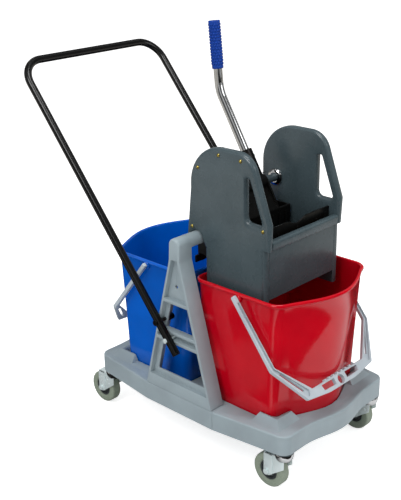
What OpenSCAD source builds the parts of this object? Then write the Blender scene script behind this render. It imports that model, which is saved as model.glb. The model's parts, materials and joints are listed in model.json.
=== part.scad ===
// Double mop bucket trolley: two lift-out buckets on a rolling tray, with a lever
// wringer hung on two uprights over the front bucket.
// X runs along the trolley towards the wringer end, Y across it, Z up from the floor.
// The origin is on the floor under the middle of the tray. Millimetres.

/* [Casters] */
// Diameter of the wheels
wheel_d = 80; // [65:1:90]
// Width of the tyres
tread_w = 25; // [18:1:32]
// Diameter of the wheel hubs
hub_d = 46; // [36:1:52]
// Diameter of the axle bolts
axle_d = 8; // [6:0.5:10]
// Distance from the swivel axis back to the axle
trail = 34; // [20:1:38]
// Gap between the tyre and the yoke above and beside it
tyre_gap = 2; // [2:0.5:6]
// Sheet thickness of the yokes
yoke_t = 2.5; // [2:0.5:4]
// Height of the ball race on a yoke
race_h = 9; // [8:0.5:18]
// Diameter of the ball race
race_d = 42; // [36:1:48]
// Diameter of the king pins and the stems above them
stem_d = 10; // [8:0.5:12]
// Distance of the swivel axes in from the tray's corners, along the trolley
caster_in_x = 22; // [21:1:36]
// The same distance across the trolley
caster_in_y = 22; // [21:1:34]

/* [Tray] */
// Height of the skirt
base_h = 45; // [36:1:60]
// Half length of the tray at its corners
half_len = 292; // [285:1:310]
// Half width of the tray at its corners
half_w = 179; // [172:1:190]
// Half width of the bridge under the uprights
bridge_half_w = 203; // [196:1:215]
// Half length of the bridge
bridge_half = 104; // [95:1:120]
// How far the ends bulge at their middle
bow = 19; // [8:1:30]
// Half width of the bulge
bow_half = 112; // [80:1:125]
// Radius of the tray's corners
corner_r = 24; // [15:1:30]
// Wall thickness of the tray
tray_wall = 4; // [3:0.5:6]
// Depth of the pans that hold the buckets
pan_depth = 14; // [8:1:22]
// Height of the lips round the bucket corners
lip_h = 16; // [6:1:24]
// Thickness of these lips at their top
lip_t = 3; // [2:0.5:6]
// How far their outer faces slope out
lip_slope = 18; // [6:1:20]

/* [Buckets] */
// Height of the buckets
bucket_h = 291; // [260:1:320]
// Wall thickness of the buckets
bucket_wall = 3; // [2:0.5:4]
// Distance from the middle to the rear wall of a bucket at its rim
rear_top = 13; // [10:1:16]
// The same distance at the bottom
rear_bottom = 27; // [20:1:30]
// Distance from the middle to the ears of the outer end at the rim
ear_top = 256; // [240:1:260]
// The same distance at the bottom
ear_bottom = 236; // [225:1:245]
// How far the outer end bows out past its ears at the rim
bucket_bow_top = 39; // [25:1:50]
// The same bow at the bottom
bucket_bow_bottom = 37; // [20:1:40]
// Half width of a bucket at the rim
bucket_half_w = 151; // [140:0.5:152]
// Draft of each side, from rim to bottom
side_draft = 5; // [2:0.5:10]
// Radius of the corners beside the middle of the trolley
bucket_rear_r = 20; // [15:1:40]
// Radius of the ears
ear_r = 14; // [12:1:30]
// How far the rolled rim stands out
rim_out = 5; // [3:0.5:6]
// Height of the rolled rim
rim_h = 9; // [6:0.5:14]

/* [Bails] */
// Distance from the middle to the bail pivots
bail_x = 139; // [134:1:150]
// Depth of the bail pivots under the rim
bail_drop = 13; // [12.5:0.5:20]
// How far below level the bails hang at rest
bail_angle = 51.5; // [45:0.5:54]
// Length from the pivot to the elbow of a bail
bail_arm = 166; // [140:1:180]
// Room between a bucket and its bail's grip
grip_gap = 3; // [2:0.5:12]
// Half width of the straight grip
grip_half = 90; // [80:1:105]
// Depth of the grip
grip_w = 26; // [22:1:34]
// Width of the arms
arm_w = 10; // [8:0.5:14]
// Thickness of the bails
bail_t = 9; // [7:0.5:10]
// Diameter of the pivot pins
pivot_d = 8; // [6:0.5:10]

/* [Uprights] */
// Height of the knob axis above the tray
upright_h = 360; // [330:1:390]
// Half width of the foot
foot_half = 102; // [90:1:104]
// Depth of an upright across the trolley
upright_d = 40; // [36:1:44]
// Radius of the knobs that carry the wringer, and half width of the necks under them
knob_r = 15.5; // [14:0.5:18]
// Length of a neck, down from the knob axis
neck_drop = 36; // [24:1:44]
// Width of the rim round the recesses
rim_w = 6; // [5:0.5:8]
// Width of the bars beside the windows
bar_w = 18; // [14:1:24]
// Depth of the recess in the outer face
recess_d = 12; // [6:1:16]
// Thickness of the web
web_t = 4; // [3:0.5:8]
// Height of the foot rail
foot_rail = 29; // [22:1:34]
// Height of the crossbar above the tray
crossbar_z = 127; // [115:1:140]
// Height of the crossbar itself
crossbar_h = 30; // [24:1:36]
// Height of the rail under the top panel, above the tray
panel_z = 223; // [210:1:240]
// Thickness of the small rails
rail_t = 8; // [5:0.5:10]
// Diameter of the accessory hole in each top panel
hole_d = 8; // [4:0.5:9]

/* [Push handle] */
// Diameter of the tube
tube_d = 18; // [16:0.5:22]
// Wall of the tube
tube_wall = 1.5; // [1:0.1:2.5]
// Length of the legs up to the crossbar
leg_len = 759; // [680:1:820]
// Lean of the legs from upright
lean = 39.9; // [34:0.1:44]
// Inner radius of the two bends
handle_bend = 48; // [30:1:80]
// Height of the leg ends above the tray
leg_z = 112; // [104:1:120]
// Distance of the leg ends in front of the middle of the uprights
leg_x = 8; // [2:1:14]
// Distance of the lower bolt from the leg end
bolt_at = 36; // [32:1:40]
// Distance of the upper stud from the leg end
stud_at = 81; // [78:1:84]
// Diameter of the studs
stud_d = 8; // [6:0.5:9]
// Diameter of the bolts
bolt_d = 6; // [5:0.5:8]

/* [Wringer] */
// Half width over the cheeks
wringer_half = 128; // [122:1:134]
// How far the wringer has slid to the near side on its knobs
wringer_shift = 6; // [0:0.5:7]
// Thickness of a cheek
cheek_d = 18; // [17.5:0.5:26]
// Wall thickness of the cheeks and their covers
cheek_wall = 3; // [2:0.5:4]
// Top of the cheeks above the knobs
cheek_top = 211; // [195:1:235]
// Radius of the rear of the cheek top
crown_r = 90; // [70:1:95]
// Radius of the front of the cheek top
brow_r = 50; // [30:1:55]
// Where that front curve starts, ahead of the knobs
brow_x = 118; // [105:1:128]
// Rear edge of the cheeks, behind the knobs
cheek_back = 16; // [8:1:16]
// Front edge of the cheeks, ahead of the knobs
cheek_front = 203; // [196:1:210]
// Height of that front edge above the knobs
nose_z = 72; // [50:1:85]
// Height above the knobs of the step in the front
step_z = 14; // [5:1:20]
// Front of the lower box, ahead of the knobs
low_front = 191; // [180:1:194]
// Rear of the lower box, ahead of the knobs
low_rear = 26; // [24:1:30]
// Depth of the cheek bottoms below the knobs
leg_drop = 128; // [110:1:140]
// Depth of the front panel's lower edge below the knobs
panel_drop = 98; // [80:1:104]
// Height of the front rail
rail_h = 20; // [14:1:28]
// Room between a knob and its saddle
saddle_gap = 0.3; // [0.2:0.1:1]
// Radius of the hand hole corners
hand_r = 7; // [4:1:9]

/* [Press] */
// Shaft ahead of the knobs
shaft_x = 25; // [22:1:32]
// Shaft above the knobs
shaft_z = 87; // [80:1:96]
// Diameter of the shaft
shaft_d = 18; // [14:1:22]
// Diameter of the bush flanges
bush_d = 40; // [34:1:44]
// Thickness of the bush flanges
bush_t = 5; // [3:0.5:6]
// Front face of the press, ahead of the shaft
press_front = 49; // [40:1:55]
// Bottom of the press, below the shaft
press_drop = 140; // [125:1:144]
// Rear of the press, behind the shaft
press_back = 53; // [46:1:54]
// Lower edge of the press's rear plate below the shaft
tail_drop = 158; // [150:1:159]
// Wall of the press
press_wall = 5; // [4:0.5:7]
// Gap between the press and each cheek
press_gap = 6; // [5.5:0.5:10]
// Diameter of the lever tube
lever_d = 20; // [16:0.5:24]
// Wall of the lever tube
lever_wall = 2; // [1.5:0.1:3]
// Place of the lever across the wringer
lever_y = 50; // [20:1:56]
// Lean of the lower lever towards the rear bucket
lever_lean = 30.9; // [22:0.1:34]
// Lean of the upper lever
lever_top_lean = 5.5; // [2:0.1:12]
// Length from the shaft to the lever's bend
lever_low = 224; // [190:1:260]
// Length from the bend to the lever's end
lever_up = 148; // [135:1:170]
// Radius of the lever's bend
lever_bend = 80; // [50:1:120]
// Length of the lever's socket, from the shaft
socket_len = 78; // [50:1:100]
// Diameter of the hand grip
grip_d = 27; // [25:0.5:32]
// Length of the hand grip
grip_len = 104; // [90:1:112]
// Front strainer plate ahead of the knobs
strainer_x = 172; // [166:1:176]
// Thickness of the strainer plate
strainer_t = 4; // [3:0.5:6]
// Gap between the strainer and the front rail, bridged by ribs
strainer_gap = 2; // [1:0.5:4]

/* [Hidden] */
$fn = 64;
// Steps in a rounded corner of an outline
arc_steps = 6;
// Overshoot of cuts
eps = 0.5;
// Running clearance of a pin or shaft in its bore, on the radius
run_gap = 0.05;
// Gap between pieces that rest on each other but lift apart
seat_gap = 0.2;
// Gap between faces that slide past each other
slide_gap = 0.4;
// Room between a bucket and its pan
pan_gap = 2.5;

crown_t = 3;
plate_t = 3.5;
race_gap = 0.3;
yoke_in = tread_w / 2 + tyre_gap;
crown_z = wheel_d + 2 * tyre_gap;
race_z = crown_z + crown_t;
skirt_z = race_z + race_h + race_gap + plate_t;
ledge_z = skirt_z + base_h;
pan_z = ledge_z - pan_depth;
bucket_z = pan_z + seat_gap;
knob_z = ledge_z + upright_h;
caster_x = half_len - caster_in_x;
caster_y = half_w - caster_in_y;
upright_y = bridge_half_w;
web_y = upright_y - recess_d;
leg_y = upright_y + tube_d / 2;
knob_in = wringer_half - 10;
cheek_in = wringer_half - cheek_d;
saddle_r = knob_r + saddle_gap;
press_half = cheek_in - press_gap;

grey = "#A3ABB0";
light_grey = "#B9C0C4";
slate = "#4B5659";
red = "#C4101C";
blue = "#0A45C0";
black = "#1B1B1D";
chrome = "#C9CCCE";
zinc = "#B5BDBF";
rubber = "#8E9585";
dark = "#33373A";
brass = "#C0A24A";
grip_blue = "#1F3A8F";

// Outlines

function unit(v) = v / norm(v);
function lerp(a, b, t) = a + (b - a) * t;
function flat(p) = [p[0], p[1]];
function arc(c, r, a0, a1) =
  [for (i = [0:arc_steps]) let (a = lerp(a0, a1, i / arc_steps)) c + r * [cos(a), sin(a)]];

// One corner of an outline: the third value of a point is its radius
function corner(p0, p1, p2) =
  let (u = unit(flat(p0) - flat(p1)), v = unit(flat(p2) - flat(p1)), r = p1[2])
  r <= 0 ? [flat(p1)] :
  let (half = acos(u * v) / 2,
       c = flat(p1) + unit(u + v) * r / sin(half),
       a = flat(p1) + u * r / tan(half) - c,
       b = flat(p1) + v * r / tan(half) - c,
       a0 = atan2(a.y, a.x))
  arc(c, r, a0, a0 + atan2(cross(a, b), a * b));

function rounded(pts) =
  let (n = len(pts))
  [for (i = [0:n - 1]) each corner(pts[(i + n - 1) % n], pts[i], pts[(i + 1) % n])];

// The same outline, moved in by g on every side; outlines run anticlockwise
function shrunk(pts, g) =
  let (n = len(pts))
  [for (i = [0:n - 1])
    let (p0 = flat(pts[(i + n - 1) % n]), p1 = flat(pts[i]), p2 = flat(pts[(i + 1) % n]),
         e1 = unit(p1 - p0), e2 = unit(p2 - p1),
         n1 = [-e1.y, e1.x], n2 = [-e2.y, e2.x],
         q = p1 + (n1 + n2) * g / (1 + n1 * n2), r = pts[i][2])
    [q.x, q.y, r <= 0 ? 0 : max(0, r - sign(cross(e1, e2)) * g)]];

module slab(pts, h) { linear_extrude(h) polygon(rounded(pts)); }

// Stands a drawing in X and Z upright: its own thickness then runs towards -Y
module upright_drawing() { rotate([90, 0, 0]) children(); }

// Cylinder along +Y from y0 to y1
module rod_y(d, y0, y1) { translate([0, y0, 0]) rotate([-90, 0, 0]) cylinder(d = d, h = y1 - y0); }

module far_side(far) { mirror([0, far ? 1 : 0, 0]) children(); }

// Closed skin through rings of equally many points
module skin(rings) {
  n = len(rings[0]);
  m = len(rings);
  sides = [for (k = [0:m - 2]) for (i = [0:n - 1])
    let (j = (i + 1) % n, a = k * n + i, b = k * n + j, c = b + n, d = a + n)
    each [[a, d, c], [a, c, b]]];
  polyhedron([for (r = rings) each r],
    concat([[for (i = [0:n - 1]) i]], sides, [[for (i = [0:n - 1]) m * n - 1 - i]]));
}

// Length of straight tube along Z
module tube_z(d, wall, z0, z1) {
  translate([0, 0, z0]) difference() {
    cylinder(d = d, h = z1 - z0);
    translate([0, 0, -eps]) cylinder(d = d - 2 * wall, h = z1 - z0 + 2 * eps);
  }
}

// Section of a bent tube at radius r, to be turned
module tube_section(d, wall, r) {
  translate([r, 0]) difference() {
    circle(d = d);
    circle(d = d - 2 * wall);
  }
}

// Tray

bow_steps = 6;
function end_bow(s) =
  [for (i = [-bow_steps:bow_steps]) let (y = bow_half * i / bow_steps)
    [s * (half_len + bow * (1 + cos(180 * y / bow_half)) / 2), s * y, 0]];

bridge_r = 6;
base_path = [for (s = [1, -1]) each concat(
  [[s * half_len, -s * half_w, corner_r]],
  end_bow(s),
  [[s * half_len, s * half_w, corner_r],
   [s * bridge_half, s * bridge_half_w, bridge_r],
   [-s * bridge_half, s * bridge_half_w, bridge_r]])];

flange_t = 5;
boss_d = race_d - 2;
stem_h = base_h - tray_wall - 6;
tray_bolt_d = 8;
tray_bolt_ys = [-120, -45, 45, 120];
tray_bolt_z = skirt_z + (base_h - pan_depth - tray_wall) / 2;
upright_screw_d = 6;
upright_screw_xs = [-70, 70];
seam_gap = 0.1;

module pan(g, z0, z1) {
  for (s = [0, 180]) rotate(s)
    translate([0, 0, z0]) linear_extrude(z1 - z0)
      polygon(bucket_path((ledge_z - pan_z) / bucket_h, g + pan_gap));
}

// Raised lips round the two outer corners of a pan, with sloping outer faces that meet in a hip
module corner_lips() {
  lip_in = 48;
  lip_end = 8;
  bow_lead = 4;
  seat = pan_depth / bucket_h;
  x1 = ear_bottom + pan_gap + lip_t + bow_lead;
  y1 = bucket_half_w - side_draft + pan_gap + lip_t;
  side = [[x1 - lip_in - lip_end, 0], [x1 + lip_slope, 0], [x1, lip_h], [x1 - lip_in, lip_h]];
  end = [[y1 - lip_in - lip_end, 0], [y1 + lip_slope, 0], [y1, lip_h], [y1 - lip_in, lip_h]];
  translate([0, 0, ledge_z - eps]) difference() {
    for (s = [0, 1]) mirror([0, s, 0]) intersection() {
      translate([0, bridge_half_w, 0]) upright_drawing() linear_extrude(bridge_half_w) polygon(side);
      rotate([90, 0, 90]) linear_extrude(half_len) polygon(end);
    }
    translate([0, 0, -eps]) linear_extrude(lip_h + 2 * eps) polygon(bucket_path(seat, pan_gap));
  }
}

module base() {
  difference() {
    union() {
      difference() {
        translate([0, 0, skirt_z]) slab(base_path, base_h);
        translate([0, 0, skirt_z - eps]) slab(shrunk(base_path, tray_wall), base_h - tray_wall + eps);
      }
      pan(tray_wall, pan_z - tray_wall, ledge_z);
      for (s = [0, 180]) rotate(s) corner_lips();
      // joint flanges at the seam, under the pan
      intersection() {
        translate([0, 0, skirt_z]) slab(base_path, base_h - tray_wall);
        translate([bridge_half - flange_t, -bridge_half_w, skirt_z])
          cube([2 * flange_t, 2 * bridge_half_w, base_h]);
      }
      for (x = [-caster_x, caster_x], y = [-caster_y, caster_y])
        translate([x, y, skirt_z]) cylinder(d = boss_d, h = base_h - tray_wall);
    }
    pan(0, pan_z, ledge_z + eps);
    for (x = [-caster_x, caster_x], y = [-caster_y, caster_y])
      translate([x, y, skirt_z - eps]) cylinder(d = stem_d + 2 * run_gap, h = stem_h + eps);
    for (y = tray_bolt_ys) translate([bridge_half, y, tray_bolt_z])
      rotate([0, 90, 0]) cylinder(d = tray_bolt_d + 2 * run_gap, h = 4 * flange_t, center = true);
    for (x = upright_screw_xs, s = [-1, 1])
      translate([x, s * (upright_y - upright_d / 2), ledge_z - tray_wall - eps])
        cylinder(d = upright_screw_d + 2 * run_gap, h = tray_wall + 2 * eps);
  }
}

module base_part(x0, x1) {
  intersection() {
    base();
    translate([x0, -2 * half_w, 0]) cube([x1 - x0, 4 * half_w, 2 * ledge_z]);
  }
}

module front_tray() { color(grey) base_part(bridge_half + seam_gap, 2 * half_len); }
module rear_tray() { color(grey) base_part(-2 * half_len, bridge_half); }

// Bolt along +X with a hexagon head and nut, clamping from x0 to x1
module bolt_x(d, x0, x1) {
  head = 0.6 * d;
  rotate([0, 90, 0]) {
    translate([0, 0, x0 - head]) cylinder(d = 1.8 * d, h = head, $fn = 6);
    translate([0, 0, x0]) cylinder(d = d, h = x1 - x0 + head);
    translate([0, 0, x1]) cylinder(d = 1.8 * d, h = head, $fn = 6);
  }
}

module tray_bolts() {
  color(zinc) for (y = tray_bolt_ys) translate([bridge_half, y, tray_bolt_z])
    bolt_x(tray_bolt_d, -flange_t, flange_t + seam_gap);
}

module upright_screws() {
  head = 4;
  reach = foot_rail - 6;
  color(zinc) for (x = upright_screw_xs, s = [-1, 1])
    translate([x, s * (upright_y - upright_d / 2), ledge_z - tray_wall]) {
      cylinder(d = upright_screw_d, h = tray_wall + reach);
      translate([0, 0, -head]) cylinder(d = 2 * upright_screw_d, h = head);
    }
}

// Casters

axle_z = wheel_d / 2;

module caster_at(x, y) { translate([x * caster_x, y * caster_y, 0]) children(); }

// Fixed plate with its stem in the tray and its king pin in the yoke
module caster_mount() {
  rivet = 4;
  color(dark) {
    translate([0, 0, skirt_z - plate_t]) cylinder(d = race_d + 2, h = plate_t);
    translate([0, 0, skirt_z - eps]) cylinder(d = stem_d, h = stem_h - 1);
    translate([0, 0, crown_z - slide_gap]) cylinder(d = stem_d, h = skirt_z - crown_z);
    translate([0, 0, crown_z - slide_gap - rivet]) cylinder(d = 1.8 * stem_d, h = rivet);
  }
}

module yoke() {
  lug_r = 8.5;
  fold_r = 2;
  gusset_drop = 15;
  front = race_d / 2;
  back = trail + lug_r;
  out = yoke_in + yoke_t;
  side = [[-back, axle_z, 4], [-trail - lug_r / 2, axle_z - lug_r, 5],
          [-trail + lug_r / 2, axle_z - lug_r, 5], [front, crown_z - gusset_drop, 5], [front, race_z, 0], [-back, race_z, 6]];
  crown = [[-back, -out, fold_r], [0, -out, fold_r], [front, 6 - front, 8],
           [front, front - 6, 8], [0, out, fold_r], [-back, out, fold_r]];
  color(zinc) difference() {
    union() {
      translate([0, 0, crown_z]) slab(crown, crown_t);
      translate([0, 0, race_z - eps]) rotate_extrude()
        polygon([[0, 0], [race_d / 2 - 2, 0], [race_d / 2, 3], [race_d / 2, race_h - 3],
                 [race_d / 2 - 3, race_h + eps], [0, race_h + eps]]);
      for (s = [0, 1]) mirror([0, s, 0])
        translate([0, -yoke_in, 0]) upright_drawing() slab(side, yoke_t);
    }
    translate([0, 0, crown_z - eps]) cylinder(d = stem_d + 2 * run_gap, h = race_h + crown_t + 3 * eps);
    translate([-trail, 0, axle_z]) rod_y(axle_d + 2 * run_gap, -2 * yoke_in, 2 * yoke_in);
  }
}

module axle() {
  out = yoke_in + yoke_t;
  head = 4;
  color(zinc) translate([-trail, 0, axle_z]) {
    rod_y(axle_d, -out - head, out + head);
    rod_y(1.6 * axle_d, -out - head, -out);
    rod_y(1.6 * axle_d, out, out + head, $fn = 6);
  }
}

module hub() {
  w = tread_w - 4;
  face = 4;
  color(dark) translate([-trail, 0, axle_z]) rotate([90, 0, 0]) rotate_extrude() difference() {
    translate([axle_d / 2 + run_gap, -w / 2]) square([hub_d / 2 - axle_d / 2 - run_gap, w]);
    for (s = [-1, 1]) translate([axle_d, s > 0 ? w / 2 - face : -w / 2 - face])
      square([hub_d / 2 - axle_d - 4, 2 * face]);
  }
}

module tyre() {
  shoulder = 4;
  profile = [[hub_d / 2, -tread_w / 2, 2], [wheel_d / 2, -tread_w / 2, shoulder],
             [wheel_d / 2, tread_w / 2, shoulder], [hub_d / 2, tread_w / 2, 2]];
  color(rubber) translate([-trail, 0, axle_z]) rotate([90, 0, 0]) rotate_extrude()
    polygon(rounded(profile));
}

// Buckets

bucket_steps = 6;
// Outline of a bucket at the height share t, grown by g
function bucket_path(t, g) =
  let (rear = lerp(rear_bottom, rear_top, t) - g,
       ear = lerp(ear_bottom, ear_top, t) + g,
       w = bucket_half_w - side_draft * (1 - t) + g,
       amp = lerp(bucket_bow_bottom, bucket_bow_top, t),
       vb = w - ear_r - g - bucket_wall)
  rounded(concat(
    [[rear, -w, bucket_rear_r + g], [ear, -w, ear_r + g]],
    [for (i = [-bucket_steps:bucket_steps]) let (v = vb * i / bucket_steps)
      [ear + amp * (1 + cos(180 * v / vb)) / 2, v, 0]],
    [[ear, w, ear_r + g], [rear, w, bucket_rear_r + g]]));

function bucket_ring(z, g) = [for (p = bucket_path(z / bucket_h, g)) [p.x, p.y, z]];

bail_z = bucket_h - bail_drop;
boss_r = 9;
arm_in = bucket_half_w + rim_out + 2.5;

// Reach of a bail at which its grip hangs just clear of the bowed end
bow_low = ear_bottom + bucket_bow_bottom;
bow_rise = (ear_top + bucket_bow_top - bow_low) / bucket_h;
grip_in = (bow_low + bow_rise * bail_z + grip_gap + bail_t / 2 * sin(bail_angle) - bail_x)
  / (cos(bail_angle) + bow_rise * sin(bail_angle));
bail_reach = grip_in + grip_w;

module bucket(shade) {
  round = 2;
  foot = 6;
  neck = bucket_h - rim_h;
  color(shade) translate([0, 0, bucket_z]) difference() {
    union() {
      skin([bucket_ring(0, -foot), bucket_ring(foot, 0), bucket_ring(neck - round, 0),
            bucket_ring(neck, rim_out), bucket_ring(bucket_h - round, rim_out),
            bucket_ring(bucket_h, rim_out - round), bucket_ring(bucket_h, round - bucket_wall),
            bucket_ring(bucket_h - round, -bucket_wall), bucket_ring(foot + bucket_wall, -bucket_wall),
            bucket_ring(bucket_wall, -foot - bucket_wall)]);
      for (s = [0, 1]) mirror([0, s, 0]) translate([bail_x, 0, bail_z])
        rod_y(2 * boss_r, bucket_half_w - bucket_wall, arm_in - slide_gap);
    }
    for (s = [0, 1]) mirror([0, s, 0]) translate([bail_x, 0, bail_z])
      rod_y(pivot_d + 2 * run_gap, bucket_half_w - 4 * bucket_wall, arm_in + eps);
  }
}

module red_bucket() { bucket(red); }
module blue_bucket() { rotate(180) bucket(blue); }

// Bail, drawn in its own plane: X along the arms, Y across
elbow_out = 2;
elbow_r = 8;
arm_r = 4;
shoulder_in = 9;
shoulder_out = 24;
grip_r = 40;
// Cut-outs of the grip: two rectangles, a round hole and a slot in each shoulder
cut_wall = 5;
cut_h = 11;
cut_w = 38;
cut_y = 28;
cut_d = 18;
slot_w = 5;
slot_len = 42;
slot_share = 0.42;

module bail_plan() {
  out = arm_in + arm_w;
  end = -boss_r;
  shoulder = bail_reach - shoulder_in;
  half = [[end, arm_in, arm_r], [bail_arm - elbow_r / 2, arm_in, elbow_r], [grip_in, grip_half, arm_r]];
  rim = [[end, out, arm_r], [bail_arm, out + elbow_out, elbow_r],
         [shoulder, grip_half + shoulder_out, elbow_r], [bail_reach, grip_half / 2, grip_r]];
  back = [for (i = [len(rim) - 1:-1:0]) rim[i]];
  inner = [for (i = [len(half) - 1:-1:0]) half[i]];
  difference() {
    polygon(rounded(concat([for (p = rim) [p.x, -p.y, p[2]]], back,
      half, [for (p = inner) [p.x, -p.y, p[2]]])));
    for (s = [-1, 1]) {
      translate([grip_in + cut_wall, s * (cut_y + cut_w / 2) - cut_w / 2]) square([cut_h, cut_w]);
      translate([lerp(bail_arm, shoulder, slot_share),
                 s * lerp(arm_in + cut_wall, grip_half + cut_d, slot_share)])
        rotate(-s * atan2(arm_in - grip_half, shoulder - bail_arm))
          square([slot_len, slot_w], center = true);
    }
    translate([grip_in + cut_wall + cut_h / 2 + 1, 0]) circle(d = cut_d);
  }
}

module bail() {
  groove_w = arm_w - 4.4;
  groove_d = 4;
  bump_d = 5;
  bump_step = 20;
  color(light_grey) translate([bail_x, 0, bucket_z + bail_z]) rotate([0, bail_angle, 0]) {
    difference() {
      translate([0, 0, -bail_t / 2]) linear_extrude(bail_t) bail_plan();
      for (s = [0, 1]) mirror([0, s, 0])
        translate([boss_r, arm_in + (arm_w - groove_w) / 2, bail_t / 2 - groove_d])
          cube([bail_arm - 2 * boss_r, groove_w, bail_t]);
    }
    // finger bumps along the inside of the grip
    for (i = [-2:2]) translate([grip_in, i * bump_step, -bail_t / 2]) cylinder(d = bump_d, h = bail_t);
    for (s = [0, 1]) mirror([0, s, 0]) rod_y(pivot_d, bucket_half_w - 2 * bucket_wall, arm_in + eps);
  }
}

module red_bail() { bail(); }
module blue_bail() { rotate(180) bail(); }

// Uprights

foot_r = 2;
neck_r = 40;
neck_z = upright_h - neck_drop;
leg_slant = atan((foot_half - knob_r) / neck_z);
upright_path = [[-foot_half, 0, foot_r], [foot_half, 0, foot_r], [knob_r, neck_z, neck_r],
                [knob_r, upright_h + knob_r, 0.96 * knob_r], [-knob_r, upright_h + knob_r, 0.96 * knob_r],
                [-knob_r, neck_z, neck_r]];
panel_top = upright_h - 33;

// Half width between the legs at the height z above the tray, moved in by g
function leg_half(z, g) = lerp(foot_half, knob_r, z / neck_z) - g / cos(leg_slant);

// Part of an upright's front view moved in by g, between two heights above the tray
module upright_zone(g, z0, z1) {
  polygon([[-leg_half(z0, g), z0], [leg_half(z0, g), z0], [leg_half(z1, g), z1], [-leg_half(z1, g), z1]]);
}

// Point on a handle leg, s from its lower end, in X and Z
function leg_point(s) = [leg_x - s * sin(lean), ledge_z + leg_z + s * cos(lean)];

module at_leg(s) { translate([leg_point(s).x, 0, leg_point(s).y]) children(); }

// Place of the accessory hole in the panel
panel_hole = [-6, panel_z + 38];
// Height of the sill between the foot rail and the lower window
sill_h = 13;
// Room round the nuts of the handle, in pockets from behind
stud_pocket_d = 17;
bolt_pocket_d = 14;

// Frame with a recessed front, two windows and a pocket behind the top panel
module upright_frame() {
  back = -upright_y + upright_d;
  difference() {
    union() {
      translate([0, back, ledge_z]) upright_drawing() linear_extrude(upright_d)
        polygon(rounded(upright_path));
      translate([0, 0, knob_z]) rod_y(2 * knob_r, -upright_y, -knob_in);
    }
    // outer recess, with small rails left beside its windows
    translate([0, -upright_y + recess_d, ledge_z]) upright_drawing() linear_extrude(recess_d + eps)
      difference() {
        upright_zone(rim_w, foot_rail, panel_top);
        for (z = [crossbar_z, crossbar_z + crossbar_h - rail_t, panel_z])
          translate([-foot_half, z]) square([2 * foot_half, rail_t]);
      }
    translate([0, back + eps, ledge_z]) upright_drawing()
      linear_extrude(upright_d - recess_d - web_t + eps) upright_zone(rim_w, panel_z + rail_t, panel_top);
    // windows
    translate([0, back + eps, ledge_z]) upright_drawing() linear_extrude(upright_d + 2 * eps) {
      upright_zone(bar_w, foot_rail + sill_h, crossbar_z);
      upright_zone(bar_w, crossbar_z + crossbar_h, panel_z);
    }
  }
}

module upright() {
  back = -upright_y + upright_d;
  color(grey) difference() {
    upright_frame();
    at_leg(stud_at) rod_y(stud_d + 2 * run_gap, -upright_y - eps, back);
    at_leg(stud_at) rod_y(stud_pocket_d, -web_y + web_t, back + eps);
    at_leg(bolt_at) rod_y(bolt_d + 2 * run_gap, -upright_y - eps, back);
    at_leg(bolt_at) rod_y(bolt_pocket_d, -web_y + web_t, back + eps);
    translate([panel_hole.x, 0, ledge_z + panel_hole.y]) rod_y(hole_d, -upright_y, back);
    for (x = upright_screw_xs) translate([x, -upright_y + upright_d / 2, ledge_z - eps])
      cylinder(d = upright_screw_d + 2 * run_gap, h = foot_rail - 4);
  }
}

module near_upright() { upright(); }
module far_upright() { far_side(true) upright(); }

// Push handle

handle_half = leg_y;
module in_handle() { at_leg(0) rotate([0, -lean, 0]) children(); }

module push_handle() {
  r = handle_bend + tube_d / 2;
  color(black) difference() {
    in_handle() {
      for (s = [0, 1]) mirror([0, s, 0]) {
        translate([0, -handle_half, 0]) tube_z(tube_d, tube_wall, 0, leg_len - r);
        translate([0, -handle_half + r, leg_len - r]) rotate([0, -90, 0]) rotate(-90)
          rotate_extrude(angle = 90) tube_section(tube_d, tube_wall, r);
      }
      translate([0, handle_half - r, leg_len]) rotate([90, 0, 0])
        tube_z(tube_d, tube_wall, 0, 2 * (handle_half - r));
    }
    at_leg(stud_at) rod_y(stud_d + 2 * run_gap, -2 * leg_y, 2 * leg_y);
    at_leg(bolt_at) rod_y(bolt_d + 2 * run_gap, -2 * leg_y, 2 * leg_y);
  }
}

module handle_plugs() {
  cap = 3;
  depth = 15;
  color(dark) in_handle() for (s = [-1, 1]) translate([0, s * handle_half, 0]) {
    translate([0, 0, -cap]) cylinder(d = tube_d, h = cap);
    cylinder(d = tube_d - 2 * tube_wall - 2 * run_gap, h = depth);
  }
}

// Studs with a low head outside each leg and a long cap nut behind the web
module handle_studs() {
  head = 3;
  cap_d = stud_pocket_d - 2;
  cap_l = 18;
  back = web_y - web_t;
  color(black) for (s = [false, true]) far_side(s) at_leg(stud_at) {
    rod_y(stud_d, -leg_y - tube_d / 2 - head, -back + cap_l / 2);
    rod_y(1.7 * stud_d, -leg_y - tube_d / 2 - head, -leg_y - tube_d / 2);
    rod_y(cap_d, -back, -back + cap_l);
  }
}

module handle_bolts() {
  head = 3;
  back = web_y - web_t;
  color(zinc) for (s = [false, true]) far_side(s) at_leg(bolt_at) {
    rod_y(bolt_d, -leg_y - tube_d / 2 - head, -back + bolt_d);
    rod_y(1.8 * bolt_d, -leg_y - tube_d / 2 - head, -leg_y - tube_d / 2);
    rod_y(1.8 * bolt_d, -back, -back + bolt_d, $fn = 6);
  }
}

// Wringer, drawn about the knob axis

crown_c = [crown_r - cheek_back, cheek_top - crown_r];
brow_c = [brow_x, cheek_top - brow_r];
nose = [cheek_front, nose_z];
nose_v = nose - brow_c;
brow_end = atan2(nose_v.y, nose_v.x) + acos(brow_r / norm(nose_v));
chin = 3;

// Outline of a cheek moved in by g
function cheek_outline(g) =
  let (r = saddle_r + g,
       slope = [cos(brow_end), sin(brow_end)])
  concat(
    [[r, 0], [g - cheek_back, 0]],
    arc(crown_c, crown_r - g, 180, 90),
    arc(brow_c, brow_r - g, 90, brow_end),
    [nose - g * [1, (1 - slope.x) / slope.y],
     [cheek_front - chin - g, step_z + g],
     [low_front - g, step_z + (g > 0 ? g : 0)],
     [low_front - g, g - leg_drop],
     [low_rear + g, g - leg_drop],
     [low_rear + g, -saddle_r]]);

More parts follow.
